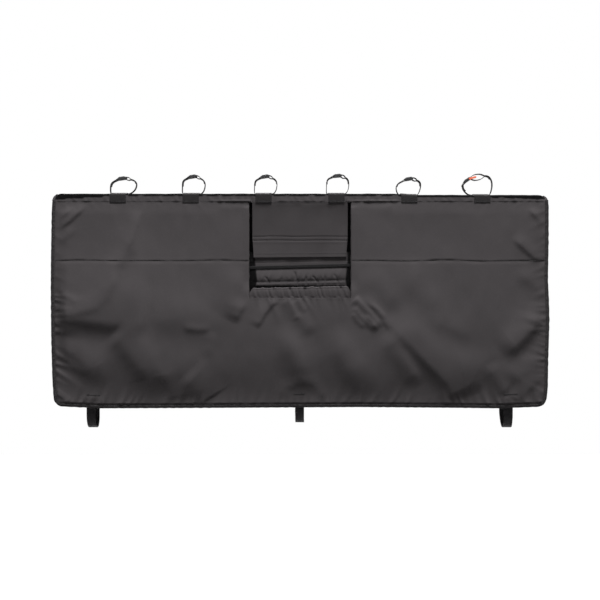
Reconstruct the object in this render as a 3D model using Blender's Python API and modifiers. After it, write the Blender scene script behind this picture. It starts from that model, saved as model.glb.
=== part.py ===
"""A padded cover that hangs over a pickup's tailgate, with six straps that hold bikes by the down tube.

X runs along the tailgate, -Y is the outside of the vehicle, +Z is up. The origin is the middle of the lining
that rests on the tailgate's top edge. All values are in metres.
"""

import math

import bmesh
import bpy
from mathutils import Matrix, Vector
from mathutils.geometry import interpolate_bezier

# The pad as a whole
PAD_WIDTH = 1.575
FRONT_DROP = 0.668
REAR_DROP = 0.320
CHANNEL = 0.078
INNER_BEND = 0.015
SEAM_DROP = 0.0170
CORNER_RADIUS = 0.030
BEND_STEPS = 6

# Layers, from the outside in, and the gap that touching pieces keep
SHELL = 0.0012
FOAM = 0.0080
LINING = 0.0015
GAP = 0.0003

# Binding tape round every outer edge, and the turned facings at the window's sides
BINDING_WIDTH = 0.011
BINDING_THICK = 0.0012
FACING_WIDTH = 0.010

# Window in the front panel, with the pieces that close it
WINDOW_WIDTH = 0.322
WINDOW_DROP = 0.3205
CASING_HEIGHT = 0.035
ELASTIC_WIDTH = 0.024
ELASTIC_THICK = 0.0018
FLAP_DROP = 0.191
FLAP_THICK = 0.0020
FLAP_SIDE_GAP = 0.010
FLAP_RECESS = 0.0075
LOOP_TAPE_DROP = 0.1265
LOOP_TAPE_WIDTH = 0.0105
TAPE_THICK = 0.0012
FLAP_STEPS = 14
TAPE_STEPS = 2
BACKING_OVERLAP = 0.016
BACKING_SIDE = 0.020
BACKING_BELOW = 0.025
HOOK_STRIP_DROP = 0.2176
HOOK_STRIP_WIDTH = 0.0100

# Webbing tabs on the top edge
TAB_COUNT = 6
END_TO_TAB = 0.2115
TAB_WIDTH = 0.051
TAB_THICK = 0.0016
TAB_DROP = 0.0190
TAB_RISE_LENGTH = 0.010

# Tube straps and their buckles
TUBE_STRAP_WIDTH = 0.020
TUBE_STRAP_THICK = 0.0020
TUBE_STRAP_FOLD = 0.024
FOOT_PULL = 0.27
LOWER_PULL = 0.45
UPPER_PULL = 0.42
TAIL_LIFT = 16
TAIL_LENGTH = 0.0144
STRAND_STEPS = 5
EYE_STEPS = 2
CAP_STEPS = 6
BAR_RADIUS = 0.0016
BAR_SIDES = 10
BAR_SPACING = 0.022
CHEEK_THICK = 0.0026
CHEEK_HEIGHT = 0.0085
CHEEK_LENGTH = 0.028
CHEEK_ROUND = 150
CHEEK_FOOT = -80
CHEEK_STEPS = 5
COVER_LENGTH = 0.0155
COVER_THICK = 0.0016
PULL_TAB_LENGTH = 0.025
PULL_TAB_WIDTH = 0.0062
PULL_TAB_THICK = 0.0016
PULL_TAB_LEAN = 6
PULL_TAB_START = 0.0066
PULL_TAB_STEPS = 6

# Straps that close under the tailgate, and the ladder locks on the rear panel
END_TO_UNDER_STRAP = 0.1245
UNDER_STRAP_WIDTH = 0.028
UNDER_STRAP_THICK = 0.0016
UNDER_STRAP_SEWN = 0.063
UNDER_STRAP_HANG = {"left": 0.067, "middle": 0.051, "right": 0.067}
UNDER_BEND_DEPTH = 0.046
UNDER_BEND_STEPS = 14
UNDER_RISE_STEPS = 4
UNDER_TAIL = 0.120
LOCK_LENGTH = 0.030
LOCK_THICK = 0.0040
LOCK_BAR = 0.0045
LOCK_ABOVE_HEM = 0.006
ANCHOR_SEWN = 0.070
ANCHOR_STEPS = 3
ANCHOR_FREE = 0.024

# Shape of the eye between a strap's sewn fold and its bar, as shares of the eye's length and half height
OPEN_EYE = [(0.30, 0.86), (0.70, 0.94)]
SLIM_EYE = [(0.40, 0.55)]
SHARPEST_MITRE = 0.5

# Loops of the six tube straps as they stand. The points are distances from the tab's middle and above the
# pad's top: the buckle's middle, then how far the strap bulges to the left and to the right.
TUBE_LOOPS = [
    {"buckle": (0.0074, 0.0505), "left": (-0.0304, 0.019), "right": (0.0530, 0.0315)},
    {"buckle": (0.0024, 0.0562), "left": (-0.0308, 0.026), "right": (0.0420, 0.0310)},
    {"buckle": (0.0037, 0.0565), "left": (-0.0304, 0.025), "right": (0.0417, 0.0335)},
    {"buckle": (0.0045, 0.0587), "left": (-0.0304, 0.027), "right": (0.0410, 0.0310)},
    {"buckle": (0.0025, 0.0488), "left": (-0.0378, 0.019), "right": (0.0405, 0.0300)},
    {"buckle": (-0.0395, 0.0455), "left": (-0.0560, 0.025), "right": (0.0385, 0.0310)},
]

# For each loop, the buckle's tilt and the right strand's droop in degrees, then the length of the strap's
# sewn eye and half of its height
TUBE_ENDS = [
    {"tilt": 8, "droop": 12, "eye": 0.0165, "eye_open": 0.0044},
    {"tilt": 9, "droop": 24, "eye": 0.0150, "eye_open": 0.0040},
    {"tilt": 9, "droop": 24, "eye": 0.0150, "eye_open": 0.0040},
    {"tilt": 5, "droop": 21, "eye": 0.0155, "eye_open": 0.0046},
    {"tilt": 9, "droop": 18, "eye": 0.0155, "eye_open": 0.0046},
    {"tilt": 35, "droop": -10, "eye": 0.0450, "eye_open": 0.0095},
]

# Broad folds of the front fabric: both ends as shares of the panel, from its middle and its top, then the
# fold's half width and its height in metres
FRONT_FOLDS = [
    ((-0.96, 0.24), (-0.62, 0.54), 0.050, 0.0040),
    ((-0.62, 0.05), (-0.76, 0.42), 0.045, 0.0035),
    ((-0.90, 0.52), (-0.30, 0.53), 0.050, 0.0045),
    ((-0.92, 0.72), (-0.70, 0.93), 0.040, 0.0045),
    ((-0.60, 0.60), (-0.46, 0.95), 0.050, 0.0045),
    ((-0.30, 0.55), (-0.16, 0.92), 0.055, 0.0040),
    ((-0.21, 0.42), (-0.26, 0.62), 0.045, 0.0050),
    ((0.22, 0.42), (0.34, 0.60), 0.045, 0.0050),
    ((0.02, 0.58), (0.04, 0.90), 0.050, 0.0035),
    ((0.30, 0.55), (0.66, 0.93), 0.060, 0.0045),
    ((0.50, 0.25), (0.42, 0.48), 0.060, 0.0030),
    ((0.94, 0.55), (0.74, 0.85), 0.055, 0.0045),
    ((0.94, 0.10), (0.78, 0.36), 0.045, 0.0035),
]
FOLD_CELL = 0.046
FOLD_EDGE = 0.030
CUT_REACH = 1e-6

# Places worked out from the sizes
HALF_CHANNEL = CHANNEL / 2
PAD_THICK = SHELL + FOAM + LINING + 2 * GAP
TOP_FACE = PAD_THICK
OUTER_FACE = HALF_CHANNEL + PAD_THICK
BINDING_OUT = BINDING_THICK + GAP
BINDING_FACE = OUTER_FACE + BINDING_OUT
LAYER_INSET = BINDING_OUT
WINDOW_HALF = WINDOW_WIDTH / 2
TAB_PITCH = (PAD_WIDTH - 2 * END_TO_TAB) / (TAB_COUNT - 1)
UNDER_STRAP_OFFSET = PAD_WIDTH / 2 - END_TO_UNDER_STRAP
LOCK_CLEAR = math.hypot(LOCK_THICK / 2, LOCK_BAR / 2) + GAP
UNDER_PLACES = {"left": -UNDER_STRAP_OFFSET, "middle": 0.0, "right": UNDER_STRAP_OFFSET}

COLOURS = {
    "shell": (0.060, 0.056, 0.058),
    "binding": (0.036, 0.034, 0.035),
    "foam": (0.30, 0.30, 0.31),
    "lining": (0.045, 0.045, 0.048),
    "webbing": (0.020, 0.019, 0.020),
    "hook_tape": (0.016, 0.016, 0.017),
    "elastic": (0.55, 0.55, 0.53),
    "buckle": (0.015, 0.015, 0.016),
    "pull_tab": (0.85, 0.14, 0.07),
}
SATIN_ROUGHNESS = {"shell": 0.55, "buckle": 0.40, "webbing": 0.75}
PLAIN_ROUGHNESS = 0.85


def empty_scene():
    for thing in list(bpy.data.objects):
        bpy.data.objects.remove(thing)


def new_collection(name):
    collection = bpy.data.collections.new(name)
    bpy.context.scene.collection.children.link(collection)
    return collection


def finish(name, finish_name):
    """A material of its own for the piece, in one of the pad's finishes."""
    material = bpy.data.materials.new(name)
    material.use_nodes = True
    shader = material.node_tree.nodes["Principled BSDF"]
    shader.inputs["Base Color"].default_value = (*COLOURS[finish_name], 1.0)
    shader.inputs["Roughness"].default_value = SATIN_ROUGHNESS.get(finish_name, PLAIN_ROUGHNESS)
    shader.inputs["Metallic"].default_value = 0.0
    material.diffuse_color = (*COLOURS[finish_name], 1.0)
    return material


def add_piece(name, mesh, finish_name):
    piece = bpy.data.objects.new(name, mesh)
    piece.data.materials.clear()
    piece.data.materials.append(finish(name, finish_name))
    bpy.data.collections["tailgate_bike_pad"].objects.link(piece)
    return piece


def mesh_from(bm, name):
    bmesh.ops.recalc_face_normals(bm, faces=bm.faces)
    mesh = bpy.data.meshes.new(name)
    bm.to_mesh(mesh)
    bm.free()
    return mesh


def unit(angle_deg):
    angle = math.radians(angle_deg)
    return Vector((math.cos(angle), math.sin(angle)))


# Outlines in a plane


def arc(centre, radius, start_deg, end_deg, steps=BEND_STEPS):
    """Points of an arc, both ends included."""
    turn = (end_deg - start_deg) / steps
    return [Vector(centre) + radius * unit(start_deg + turn * i) for i in range(steps + 1)]


def half_ellipse(centre, half_width, depth, steps):
    """The lower half of an ellipse, from left to right."""
    angles = [math.pi + math.pi * i / steps for i in range(steps + 1)]
    return [Vector((centre[0] + half_width * math.cos(a), centre[1] + depth * math.sin(a))) for a in angles]


def normals_of(path):
    """The left-hand normal at each point of a path, stretched at corners so that an offset stays parallel."""
    result = []
    for i, point in enumerate(path):
        before = (point - path[i - 1]).normalized() if i > 0 else None
        after = (path[i + 1] - point).normalized() if i < len(path) - 1 else None
        first = before or after
        second = after or before
        side = Vector((-first.y, first.x)) + Vector((-second.y, second.x))
        side.normalize()
        result.append(side / max(SHARPEST_MITRE, side.dot(Vector((-first.y, first.x)))))
    return result


def offset(path, distance):
    return [p + n * distance for p, n in zip(path, normals_of(path))]


def ribbon(path, thickness):
    """The closed outline of a band whose middle follows the path."""
    return offset(path, thickness / 2) + list(reversed(offset(path, -thickness / 2)))


def mirrored(path):
    return [Vector((-p.x, p.y)) for p in path]


def bezier(start, start_pull, end_pull, end, steps):
    points = interpolate_bezier(start.to_3d(), start_pull.to_3d(), end_pull.to_3d(), end.to_3d(), steps + 1)
    return [point.to_2d() for point in points]


def catmull(points, steps):
    """A smooth curve through all the points."""
    padded = [2 * points[0] - points[1]] + points + [2 * points[-1] - points[-2]]
    result = [points[0]]
    for a, b, c, d in zip(padded, padded[1:], padded[2:], padded[3:]):
        for i in range(1, steps + 1):
            t = i / steps
            result.append(0.5 * ((2 * b) + (c - a) * t + (2 * a - 5 * b + 4 * c - d) * t * t
                                 + (3 * b - a - 3 * c + d) * t * t * t))
    return result


# Solids from outlines


def across_width(u, v, w):
    """Plane of a strap's route seen from the side: outline in Y and Z, thickness along X."""
    return (w, u, v)


def facing_front(u, v, w):
    """Plane of the front face: outline in X and Z, thickness along Y."""
    return (u, w, v)


def facing_up(u, v, w):
    """Plane of the ground: outline in X and Y, thickness along Z."""
    return (u, v, w)


def prism(name, outline, low, high, plane, finish_name):
    """A flat outline given a thickness from low to high."""
    bm = bmesh.new()
    face = bm.faces.new([bm.verts.new(plane(p[0], p[1], low)) for p in outline])
    grown = bmesh.ops.extrude_face_region(bm, geom=[face])
    moved = [g for g in grown["geom"] if isinstance(g, bmesh.types.BMVert)]
    bmesh.ops.translate(bm, verts=moved, vec=plane(0, 0, high - low))
    return add_piece(name, mesh_from(bm, name), finish_name)


def sweep(name, section, steps, finish_name):
    """A section pushed along straight runs and turned round bends, each step from the last one's end."""
    bm = bmesh.new()
    face = bm.faces.new([bm.verts.new(point) for point in section])
    for step in steps:
        region = [face] + list(face.edges) + list(face.verts)
        if "run" in step:
            grown = bmesh.ops.extrude_face_region(bm, geom=region)["geom"]
            moved = [g for g in grown if isinstance(g, bmesh.types.BMVert)]
            bmesh.ops.translate(bm, verts=moved, vec=step["run"])
        else:
            grown = bmesh.ops.spin(bm, geom=region, cent=step["centre"], axis=step["axis"],
                                   angle=math.radians(step["turn"]), steps=BEND_STEPS)["geom_last"]
        face = next(g for g in grown if isinstance(g, bmesh.types.BMFace))
    return add_piece(name, mesh_from(bm, name), finish_name)


def channel_section(width, thickness, wall, place):
    """A C-shaped section: a tape folded round an edge. The fold lies at 0 and the flanges reach to width."""
    low = -thickness / 2
    high = thickness / 2
    points = [(0, low), (width, low), (width, low + wall), (wall, low + wall),
              (wall, high - wall), (width, high - wall), (width, high), (0, high)]
    return [place(a, b) for a, b in points]


# Panels


def panel_outline(half_width, top, bottom, radius, notch=None):
    """A panel with round lower corners. The notch is the half width and the height of the window's cut."""
    low_left = arc((-half_width + radius, bottom + radius), radius, 180, 270)
    low_right = arc((half_width - radius, bottom + radius), radius, 270, 360)
    outline = [Vector((-half_width, top))] + low_left + low_right + [Vector((half_width, top))]
    if notch:
        half, floor = notch
        outline += [Vector((half, top)), Vector((half, floor)), Vector((-half, floor)), Vector((-half, top))]
    return outline


def hanging_layers(side, drop, notch_half, prefix):
    """Foam and lining of one hanging panel. side is -1 for the front and 1 for the rear."""
    half = PAD_WIDTH / 2 - LAYER_INSET
    notch = (notch_half, -WINDOW_DROP) if notch_half else None
    outline = panel_outline(half, -SEAM_DROP - GAP, -drop + LAYER_INSET, CORNER_RADIUS - LAYER_INSET, notch)
    inner = HALF_CHANNEL
    foam_inner = inner + LINING + GAP
    for name, near, thick, look in ((prefix + "_lining", inner, LINING, "lining"),
                                    (prefix + "_foam", foam_inner, FOAM, "foam")):
        faces = sorted((side * near, side * (near + thick)))
        prism(name, outline, faces[0], faces[1], facing_front, look)
    return outline


def fold_height(x, z):
    """How far the front fabric stands off its foam at a point, from the broad folds."""
    half = PAD_WIDTH / 2
    height = 0.0
    for (x0, z0), (x1, z1), width, rise in FRONT_FOLDS:
        start = Vector((x0 * half, -z0 * FRONT_DROP))
        run = Vector((x1 * half, -z1 * FRONT_DROP)) - start
        along = max(0.0, min(1.0, (Vector((x, z)) - start).dot(run) / run.length_squared))
        away = (Vector((x, z)) - start - run * along).length
        height += rise * math.exp(-((away / width) ** 2))
    return height


def edge_fade(x, z):
    """0 where the fabric is held at a seam or a binding, 1 from FOLD_EDGE inwards."""
    notch_x = abs(x) - WINDOW_HALF - FACING_WIDTH
    notch_z = -WINDOW_DROP - z
    to_notch = max(notch_x, notch_z)
    to_side = PAD_WIDTH / 2 - BINDING_WIDTH - abs(x)
    to_hem = z + FRONT_DROP - BINDING_WIDTH
    to_seam = -SEAM_DROP - z
    nearest = max(0.0, min(to_notch, to_side, to_hem, to_seam))
    share = min(1.0, nearest / FOLD_EDGE)
    return share * share * (3 - 2 * share)


def front_shell(outline):
    """The front fabric: one sheet cut round the window, with its broad folds standing off the foam."""
    back = -(OUTER_FACE - SHELL)
    bm = bmesh.new()
    bm.faces.new([bm.verts.new((p.x, back, p.y)) for p in outline])
    half = PAD_WIDTH / 2 - BINDING_WIDTH
    window_edge = WINDOW_HALF + FACING_WIDTH
    columns = max(2, round((half - window_edge) / FOLD_CELL))
    middle_columns = max(2, round(2 * window_edge / FOLD_CELL))
    low = -FRONT_DROP + BINDING_WIDTH
    rows = max(2, round((-WINDOW_DROP - low) / FOLD_CELL))
    upper_rows = max(2, round((WINDOW_DROP - SEAM_DROP) / FOLD_CELL))
    side_cuts = [window_edge + (half - window_edge) * i / columns for i in range(columns + 1)]
    middle_cuts = [-window_edge + 2 * window_edge * i / middle_columns for i in range(1, middle_columns)]
    for x in [-c for c in side_cuts] + middle_cuts + side_cuts:
        cut_sheet(bm, (x, 0, 0), (1, 0, 0))
    heights = [low + (-WINDOW_DROP - low) * i / rows for i in range(rows)]
    heights += [-WINDOW_DROP + (WINDOW_DROP - SEAM_DROP) * i / upper_rows for i in range(upper_rows)]
    for z in heights:
        cut_sheet(bm, (0, 0, z), (0, 0, 1))
    for vert in bm.verts:
        vert.co.y -= fold_height(vert.co.x, vert.co.z) * edge_fade(vert.co.x, vert.co.z)
    mesh = mesh_from(bm, "front_shell")
    if mesh.polygons[0].normal.y > 0:
        mesh.flip_normals()
    piece = add_piece("front_shell", mesh, "shell")
    wall = piece.modifiers.new("fabric", "SOLIDIFY")
    wall.thickness = SHELL
    wall.offset = 1.0
    return piece


def cut_sheet(bm, point, normal):
    everything = list(bm.verts) + list(bm.edges) + list(bm.faces)
    bmesh.ops.bisect_plane(bm, geom=everything, dist=CUT_REACH, plane_co=point, plane_no=normal)


def front_panel():
    notch_half = WINDOW_HALF + BINDING_OUT
    outline = hanging_layers(-1, FRONT_DROP, notch_half, "front")
    front_shell(outline)
    edge_binding("front_binding", -1, FRONT_DROP)
    middle = -(HALF_CHANNEL + OUTER_FACE) / 2
    thickness = PAD_THICK + 2 * BINDING_OUT
    top = -SEAM_DROP - GAP
    floor = -WINDOW_DROP + GAP
    for name, side in (("window_facing_left", -1), ("window_facing_right", 1)):
        section = channel_section(FACING_WIDTH, thickness, BINDING_THICK,
                                  lambda a, b: (side * (WINDOW_HALF + a), middle + b))
        prism(name, section, -WINDOW_DROP + 2 * GAP, top, facing_up, "shell")
    hem_casing(middle, floor)


def rear_panel():
    outline = hanging_layers(1, REAR_DROP, None, "rear")
    prism("rear_shell", outline, OUTER_FACE - SHELL, OUTER_FACE, facing_front, "shell")
    edge_binding("rear_binding", 1, REAR_DROP)


def edge_binding(name, side, drop):
    """Tape folded round one hanging panel's two sides and its hem."""
    half = PAD_WIDTH / 2
    middle = side * (HALF_CHANNEL + OUTER_FACE) / 2
    top = -SEAM_DROP - GAP
    low = -drop + CORNER_RADIUS
    section = channel_section(BINDING_WIDTH, PAD_THICK + 2 * BINDING_OUT, BINDING_THICK,
                              lambda a, b: (-half + a, middle + b, top))
    corner = half - CORNER_RADIUS
    steps = [
        {"run": (0, 0, low - top)},
        {"centre": (-corner, middle, low), "axis": (0, -1, 0), "turn": 90},
        {"run": (2 * corner, 0, 0)},
        {"centre": (corner, middle, low), "axis": (0, -1, 0), "turn": 90},
        {"run": (0, 0, top - low)},
    ]
    sweep(name, section, steps, "binding")


# The top panel


def over_the_top():
    """Steps that carry a section from the front seam over the tailgate's top edge to the rear seam."""
    flat = HALF_CHANNEL - INNER_BEND
    straight = SEAM_DROP - INNER_BEND
    return [
        {"run": (0, 0, straight)},
        {"centre": (0, -flat, -INNER_BEND), "axis": (-1, 0, 0), "turn": 90},
        {"run": (0, 2 * flat, 0)},
        {"centre": (0, flat, -INNER_BEND), "axis": (-1, 0, 0), "turn": 90},
        {"run": (0, 0, -straight)},
    ]


def across_section(half, near, far):
    """The section of a layer at the front or the rear seam, with the pad's ends at half."""
    return [(x, y, -SEAM_DROP) for x, y in ((-half, near), (half, near), (half, far), (-half, far))]


def top_layer(layer, inner, thickness, end_inset, finish_name):
    """A layer of the top panel, sewn from a flat strip and a bent strip along each of its edges."""
    half = PAD_WIDTH / 2 - end_inset
    flat = HALF_CHANNEL - INNER_BEND
    reach = flat - GAP
    corners = [(-half, -reach), (half, -reach), (half, reach), (-half, reach)]
    prism("top_" + layer, corners, inner, inner + thickness, facing_up, finish_name)
    for edge, side in (("front", -1), ("rear", 1)):
        near = side * (HALF_CHANNEL + inner)
        section = across_section(half, near, near + side * thickness)
        steps = [{"run": (0, 0, SEAM_DROP - INNER_BEND)},
                 {"centre": (0, side * flat, -INNER_BEND), "axis": (side, 0, 0), "turn": 90}]
        sweep(f"top_{edge}_{layer}", section, steps, finish_name)


def top_panel():
    top_layer("lining", 0.0, LINING, BINDING_WIDTH + GAP, "lining")
    foam_near = -(HALF_CHANNEL + LINING + GAP)
    foam = across_section(PAD_WIDTH / 2 - LAYER_INSET, foam_near, foam_near - FOAM)
    sweep("top_foam", foam, over_the_top(), "foam")
    top_layer("shell", PAD_THICK - SHELL, SHELL, LAYER_INSET, "shell")
    middle = -(HALF_CHANNEL + OUTER_FACE) / 2
    for name, side in (("top_binding_left", -1), ("top_binding_right", 1)):
        section = channel_section(BINDING_WIDTH, PAD_THICK + 2 * BINDING_OUT, BINDING_THICK,
                                  lambda a, b: (side * (PAD_WIDTH / 2 - a), middle + b, -SEAM_DROP))
        sweep(name, section, over_the_top(), "binding")


# The window's pieces


def flap_middle(z):
    """Where the flap's middle lies in Y: out at the top seam, then easing back against the tailgate."""
    top = -SEAM_DROP - GAP
    share = min(1.0, (top - z) / (FLAP_DROP - SEAM_DROP))
    return -(OUTER_FACE - FLAP_THICK / 2) + FLAP_RECESS * (1 - (1 - share) ** 3)


def flap_path(low, high, distance, steps):
    points = [Vector((0, high + (low - high) * i / steps)) for i in range(steps + 1)]
    for point in points:
        point.x = flap_middle(point.y)
    return offset(points, distance)


def access_flap():
    top = -SEAM_DROP - GAP
    half = WINDOW_HALF - FLAP_SIDE_GAP
    path = flap_path(-FLAP_DROP, top, 0.0, FLAP_STEPS)
    prism("access_flap", ribbon(path, FLAP_THICK), -half, half, across_width, "shell")
    behind = (FLAP_THICK + TAPE_THICK) / 2 + GAP
    tape = flap_path(-LOOP_TAPE_DROP - LOOP_TAPE_WIDTH, -LOOP_TAPE_DROP, behind, TAPE_STEPS)
    inset = half - BINDING_WIDTH
    prism("flap_loop_tape", ribbon(tape, TAPE_THICK), -inset, inset, across_width, "hook_tape")


def backing_panel():
    """A sheet sewn to the lining behind the window's lower half, with the hook strip on its face."""
    face = -HALF_CHANNEL + 2 * GAP + BINDING_THICK + GAP
    half = WINDOW_HALF + BACKING_SIDE
    low = -WINDOW_DROP - BACKING_BELOW
    high = -FLAP_DROP + BACKING_OVERLAP
    outline = [(-half, low), (half, low), (half, high), (-half, high)]
    prism("backing_panel", outline, face, face + SHELL, facing_front, "shell")
    reach = WINDOW_HALF - GAP
    strip_low = -HOOK_STRIP_DROP - HOOK_STRIP_WIDTH
    strip = [(-reach, strip_low), (reach, strip_low), (reach, -HOOK_STRIP_DROP), (-reach, -HOOK_STRIP_DROP)]
    prism("backing_hook_strip", strip, face - GAP - TAPE_THICK, face - GAP, facing_front, "hook_tape")


def hem_casing(middle, floor):
    """A folded strip that stands on the window's lower edge, with the elastic that gathers it inside."""
    spread = ELASTIC_THICK + 2 * GAP + SHELL
    bend = spread / 2
    crown = floor + CASING_HEIGHT - SHELL / 2 - bend
    turn = arc((middle, crown), bend, 0, 180)
    path = [Vector((middle + bend, floor))] + turn + [Vector((middle - bend, floor))]
    half = WINDOW_HALF - GAP
    prism("window_hem_casing", ribbon(path, SHELL), -half, half, across_width, "shell")
    high = crown - GAP
    elastic = [(-half, high - ELASTIC_WIDTH), (half, high - ELASTIC_WIDTH), (half, high), (-half, high)]
    faces = (middle - ELASTIC_THICK / 2, middle + ELASTIC_THICK / 2)
    prism("window_elastic", elastic, faces[0], faces[1], facing_front, "elastic")


# Folded and sewn ends of a strap


def sewn_end(route, bar, bar_clear, open_half, thickness, fold):
    """A strap's route, led on round a bar and folded back along its own left side.

    The route ends where the two layers part. The eye from there to the bar opens by open_half to each side.
    """
    layer = thickness + GAP
    start = route[-1]
    back = offset(route, layer)
    middle = (start + back[-1]) / 2
    reach = bar - middle
    forward = reach.normalized()
    left = Vector((-forward.y, forward.x))
    radius = bar_clear + thickness / 2
    wide = max(open_half, radius)
    length = reach.length
    sides = OPEN_EYE if wide > radius else SLIM_EYE
    near = [middle + forward * length * share - left * wide * part for share, part in sides]
    far = [middle + forward * length * share + left * wide * part for share, part in reversed(sides)]
    cap = [bar + forward * radius * math.sin(a) - left * radius * math.cos(a)
           for a in (math.pi * i / CAP_STEPS for i in range(CAP_STEPS + 1))]
    out = catmull([start] + near + [cap[0]], EYE_STEPS)
    home = catmull([cap[-1]] + far + [back[-1]], EYE_STEPS)
    eye = out[:-1] + cap + home[1:]
    tail = []
    walked = 0.0
    for here, after in zip(reversed(back), reversed(back[:-1])):
        walked += (after - here).length
        if walked > fold:
            break
        tail.append(after)
    return route + eye[1:] + tail


# Tabs and tube straps


def strap_tabs():
    """Webbing over the top edge, sewn at both seams and lifted in the middle to let a strap through."""
    near = PAD_THICK + GAP + TAB_THICK / 2
    flat = HALF_CHANNEL - INNER_BEND
    radius = INNER_BEND + near
    lift = near + TUBE_STRAP_THICK + GAP
    inner = TUBE_STRAP_WIDTH / 2 + GAP + TAB_THICK
    outer = min(inner + TAB_RISE_LENGTH, flat)
    front = [Vector((-(HALF_CHANNEL + near), -TAB_DROP))] + arc((-flat, -INNER_BEND), radius, 180, 90)
    half = front + [Vector((-outer, near)), Vector((-inner, lift))]
    outline = ribbon(half + mirrored(reversed(half)), TAB_THICK)
    for i, x in enumerate(tab_places(), 1):
        prism(f"strap_tab_{i}", outline, x - TAB_WIDTH / 2, x + TAB_WIDTH / 2, across_width, "webbing")


def tab_places():
    return [TAB_PITCH * (i - (TAB_COUNT - 1) / 2) for i in range(TAB_COUNT)]


def strand(foot, bulge, join, outward, arrive):
    """One side of a loop: out of the tab, up past its widest point and in to the buckle."""
    reach = (bulge - foot).length
    low = LOWER_PULL * reach
    high = UPPER_PULL * (join - bulge).length
    up = Vector((0, 1))
    lower = bezier(foot, foot + outward * FOOT_PULL * reach, bulge - up * low, bulge, STRAND_STEPS)
    upper = bezier(bulge, bulge + up * high, join - arrive * high, join, STRAND_STEPS)
    return lower + upper[1:]


def tube_strap_path(loop, ends):
    """The route of one tube strap in X and Z, from its folded left end to its folded right end."""
    base = TOP_FACE + GAP + TUBE_STRAP_THICK / 2
    edge = TAB_WIDTH / 2 + 2 * GAP
    centre = Vector(loop["buckle"]) + Vector((0, TOP_FACE))
    along = unit(ends["tilt"])
    bar_left = centre - along * BAR_SPACING / 2
    bar_right = centre + along * BAR_SPACING / 2
    left = Vector(loop["left"]) + Vector((0, TOP_FACE))
    right = Vector(loop["right"]) + Vector((0, TOP_FACE))
    into_left = unit(ends["tilt"] + TAIL_LIFT)
    join_left = bar_left - into_left * TAIL_LENGTH
    from_right = unit(-ends["droop"])
    join_right = bar_right + from_right * ends["eye"]
    side = Vector((1, 0))
    right_strand = strand(Vector((edge, base)), right, join_right, side, -from_right)
    left_strand = strand(Vector((-edge, base)), left, join_left, -side, into_left)
    clear = BAR_RADIUS + GAP
    thick = TUBE_STRAP_THICK
    right_route = sewn_end(right_strand, bar_right, clear, ends["eye_open"], thick, TUBE_STRAP_FOLD)
    mirrored_bar = mirrored([bar_left])[0]
    left_route = sewn_end(mirrored(left_strand), mirrored_bar, clear, 0.0, thick, TUBE_STRAP_FOLD)
    return mirrored(reversed(left_route)) + right_route


def tube_straps():
    half = TUBE_STRAP_WIDTH / 2
    for i, (x, loop, ends) in enumerate(zip(tab_places(), TUBE_LOOPS, TUBE_ENDS), 1):
        outline = [Vector((p.x + x, p.y)) for p in ribbon(tube_strap_path(loop, ends), TUBE_STRAP_THICK)]
        prism(f"tube_strap_{i}", outline, -half, half, facing_front, "webbing")


def buckle_block(name, size, place, collection):
    bm = bmesh.new()
    bmesh.ops.create_cube(bm, size=1.0, matrix=Matrix.Translation(place) @ Matrix.Diagonal((*size, 1.0)))
    block = bpy.data.objects.new(name, mesh_from(bm, name))
    collection.objects.link(block)
    return block


def buckle_mesh(cutters):
    """One cam buckle, lying along X: two cheeks joined by two round bars and a cover, as one moulding."""
    inside = TUBE_STRAP_WIDTH / 2 + GAP
    cheek_middle = inside + CHEEK_THICK / 2
    span = 2 * inside + CHEEK_THICK
    cover_middle = BAR_RADIUS + 2 * GAP + TUBE_STRAP_THICK + COVER_THICK / 2
    body = buckle_block("buckle_body", (COVER_LENGTH, span, COVER_THICK), (0, 0, cover_middle), cutters)
    shapes = []
    rise = cover_middle + COVER_THICK / 2
    for side in (-1, 1):
        end = CHEEK_LENGTH / 2 - CHEEK_HEIGHT / 2
        right_round = arc((end, 0), CHEEK_HEIGHT / 2, CHEEK_FOOT + CHEEK_ROUND, CHEEK_FOOT, CHEEK_STEPS)
        outline = mirrored(reversed(right_round))
        outline += [Vector((-COVER_LENGTH / 2, rise)), Vector((COVER_LENGTH / 2, rise))]
        outline += right_round
        bm = bmesh.new()
        near = side * cheek_middle - CHEEK_THICK / 2
        face = bm.faces.new([bm.verts.new((p.x, near, p.y)) for p in outline])
        grown = bmesh.ops.extrude_face_region(bm, geom=[face])["geom"]
        moved = [g for g in grown if isinstance(g, bmesh.types.BMVert)]
        bmesh.ops.translate(bm, verts=moved, vec=(0, CHEEK_THICK, 0))
        cheek = bpy.data.objects.new("buckle_cheek", mesh_from(bm, "buckle_cheek"))
        cutters.objects.link(cheek)
        shapes.append(cheek)
        bm = bmesh.new()
        turn = Matrix.Translation((side * BAR_SPACING / 2, 0, 0)) @ Matrix.Rotation(math.pi / 2, 4, "X")
        bmesh.ops.create_cone(bm, cap_ends=True, segments=BAR_SIDES, radius1=BAR_RADIUS, radius2=BAR_RADIUS,
                              depth=span, matrix=turn)
        bar = bpy.data.objects.new("buckle_bar", mesh_from(bm, "buckle_bar"))
        cutters.objects.link(bar)
        shapes.append(bar)
    for shape in shapes:
        join = body.modifiers.new("join", "BOOLEAN")
        join.operation = "UNION"
        join.object = shape
    bpy.context.view_layer.update()
    evaluated = body.evaluated_get(bpy.context.evaluated_depsgraph_get())
    mesh = bpy.data.meshes.new_from_object(evaluated)
    for block in [body] + shapes:
        block.hide_render = True
        block.display_type = "WIRE"
    return mesh


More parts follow.
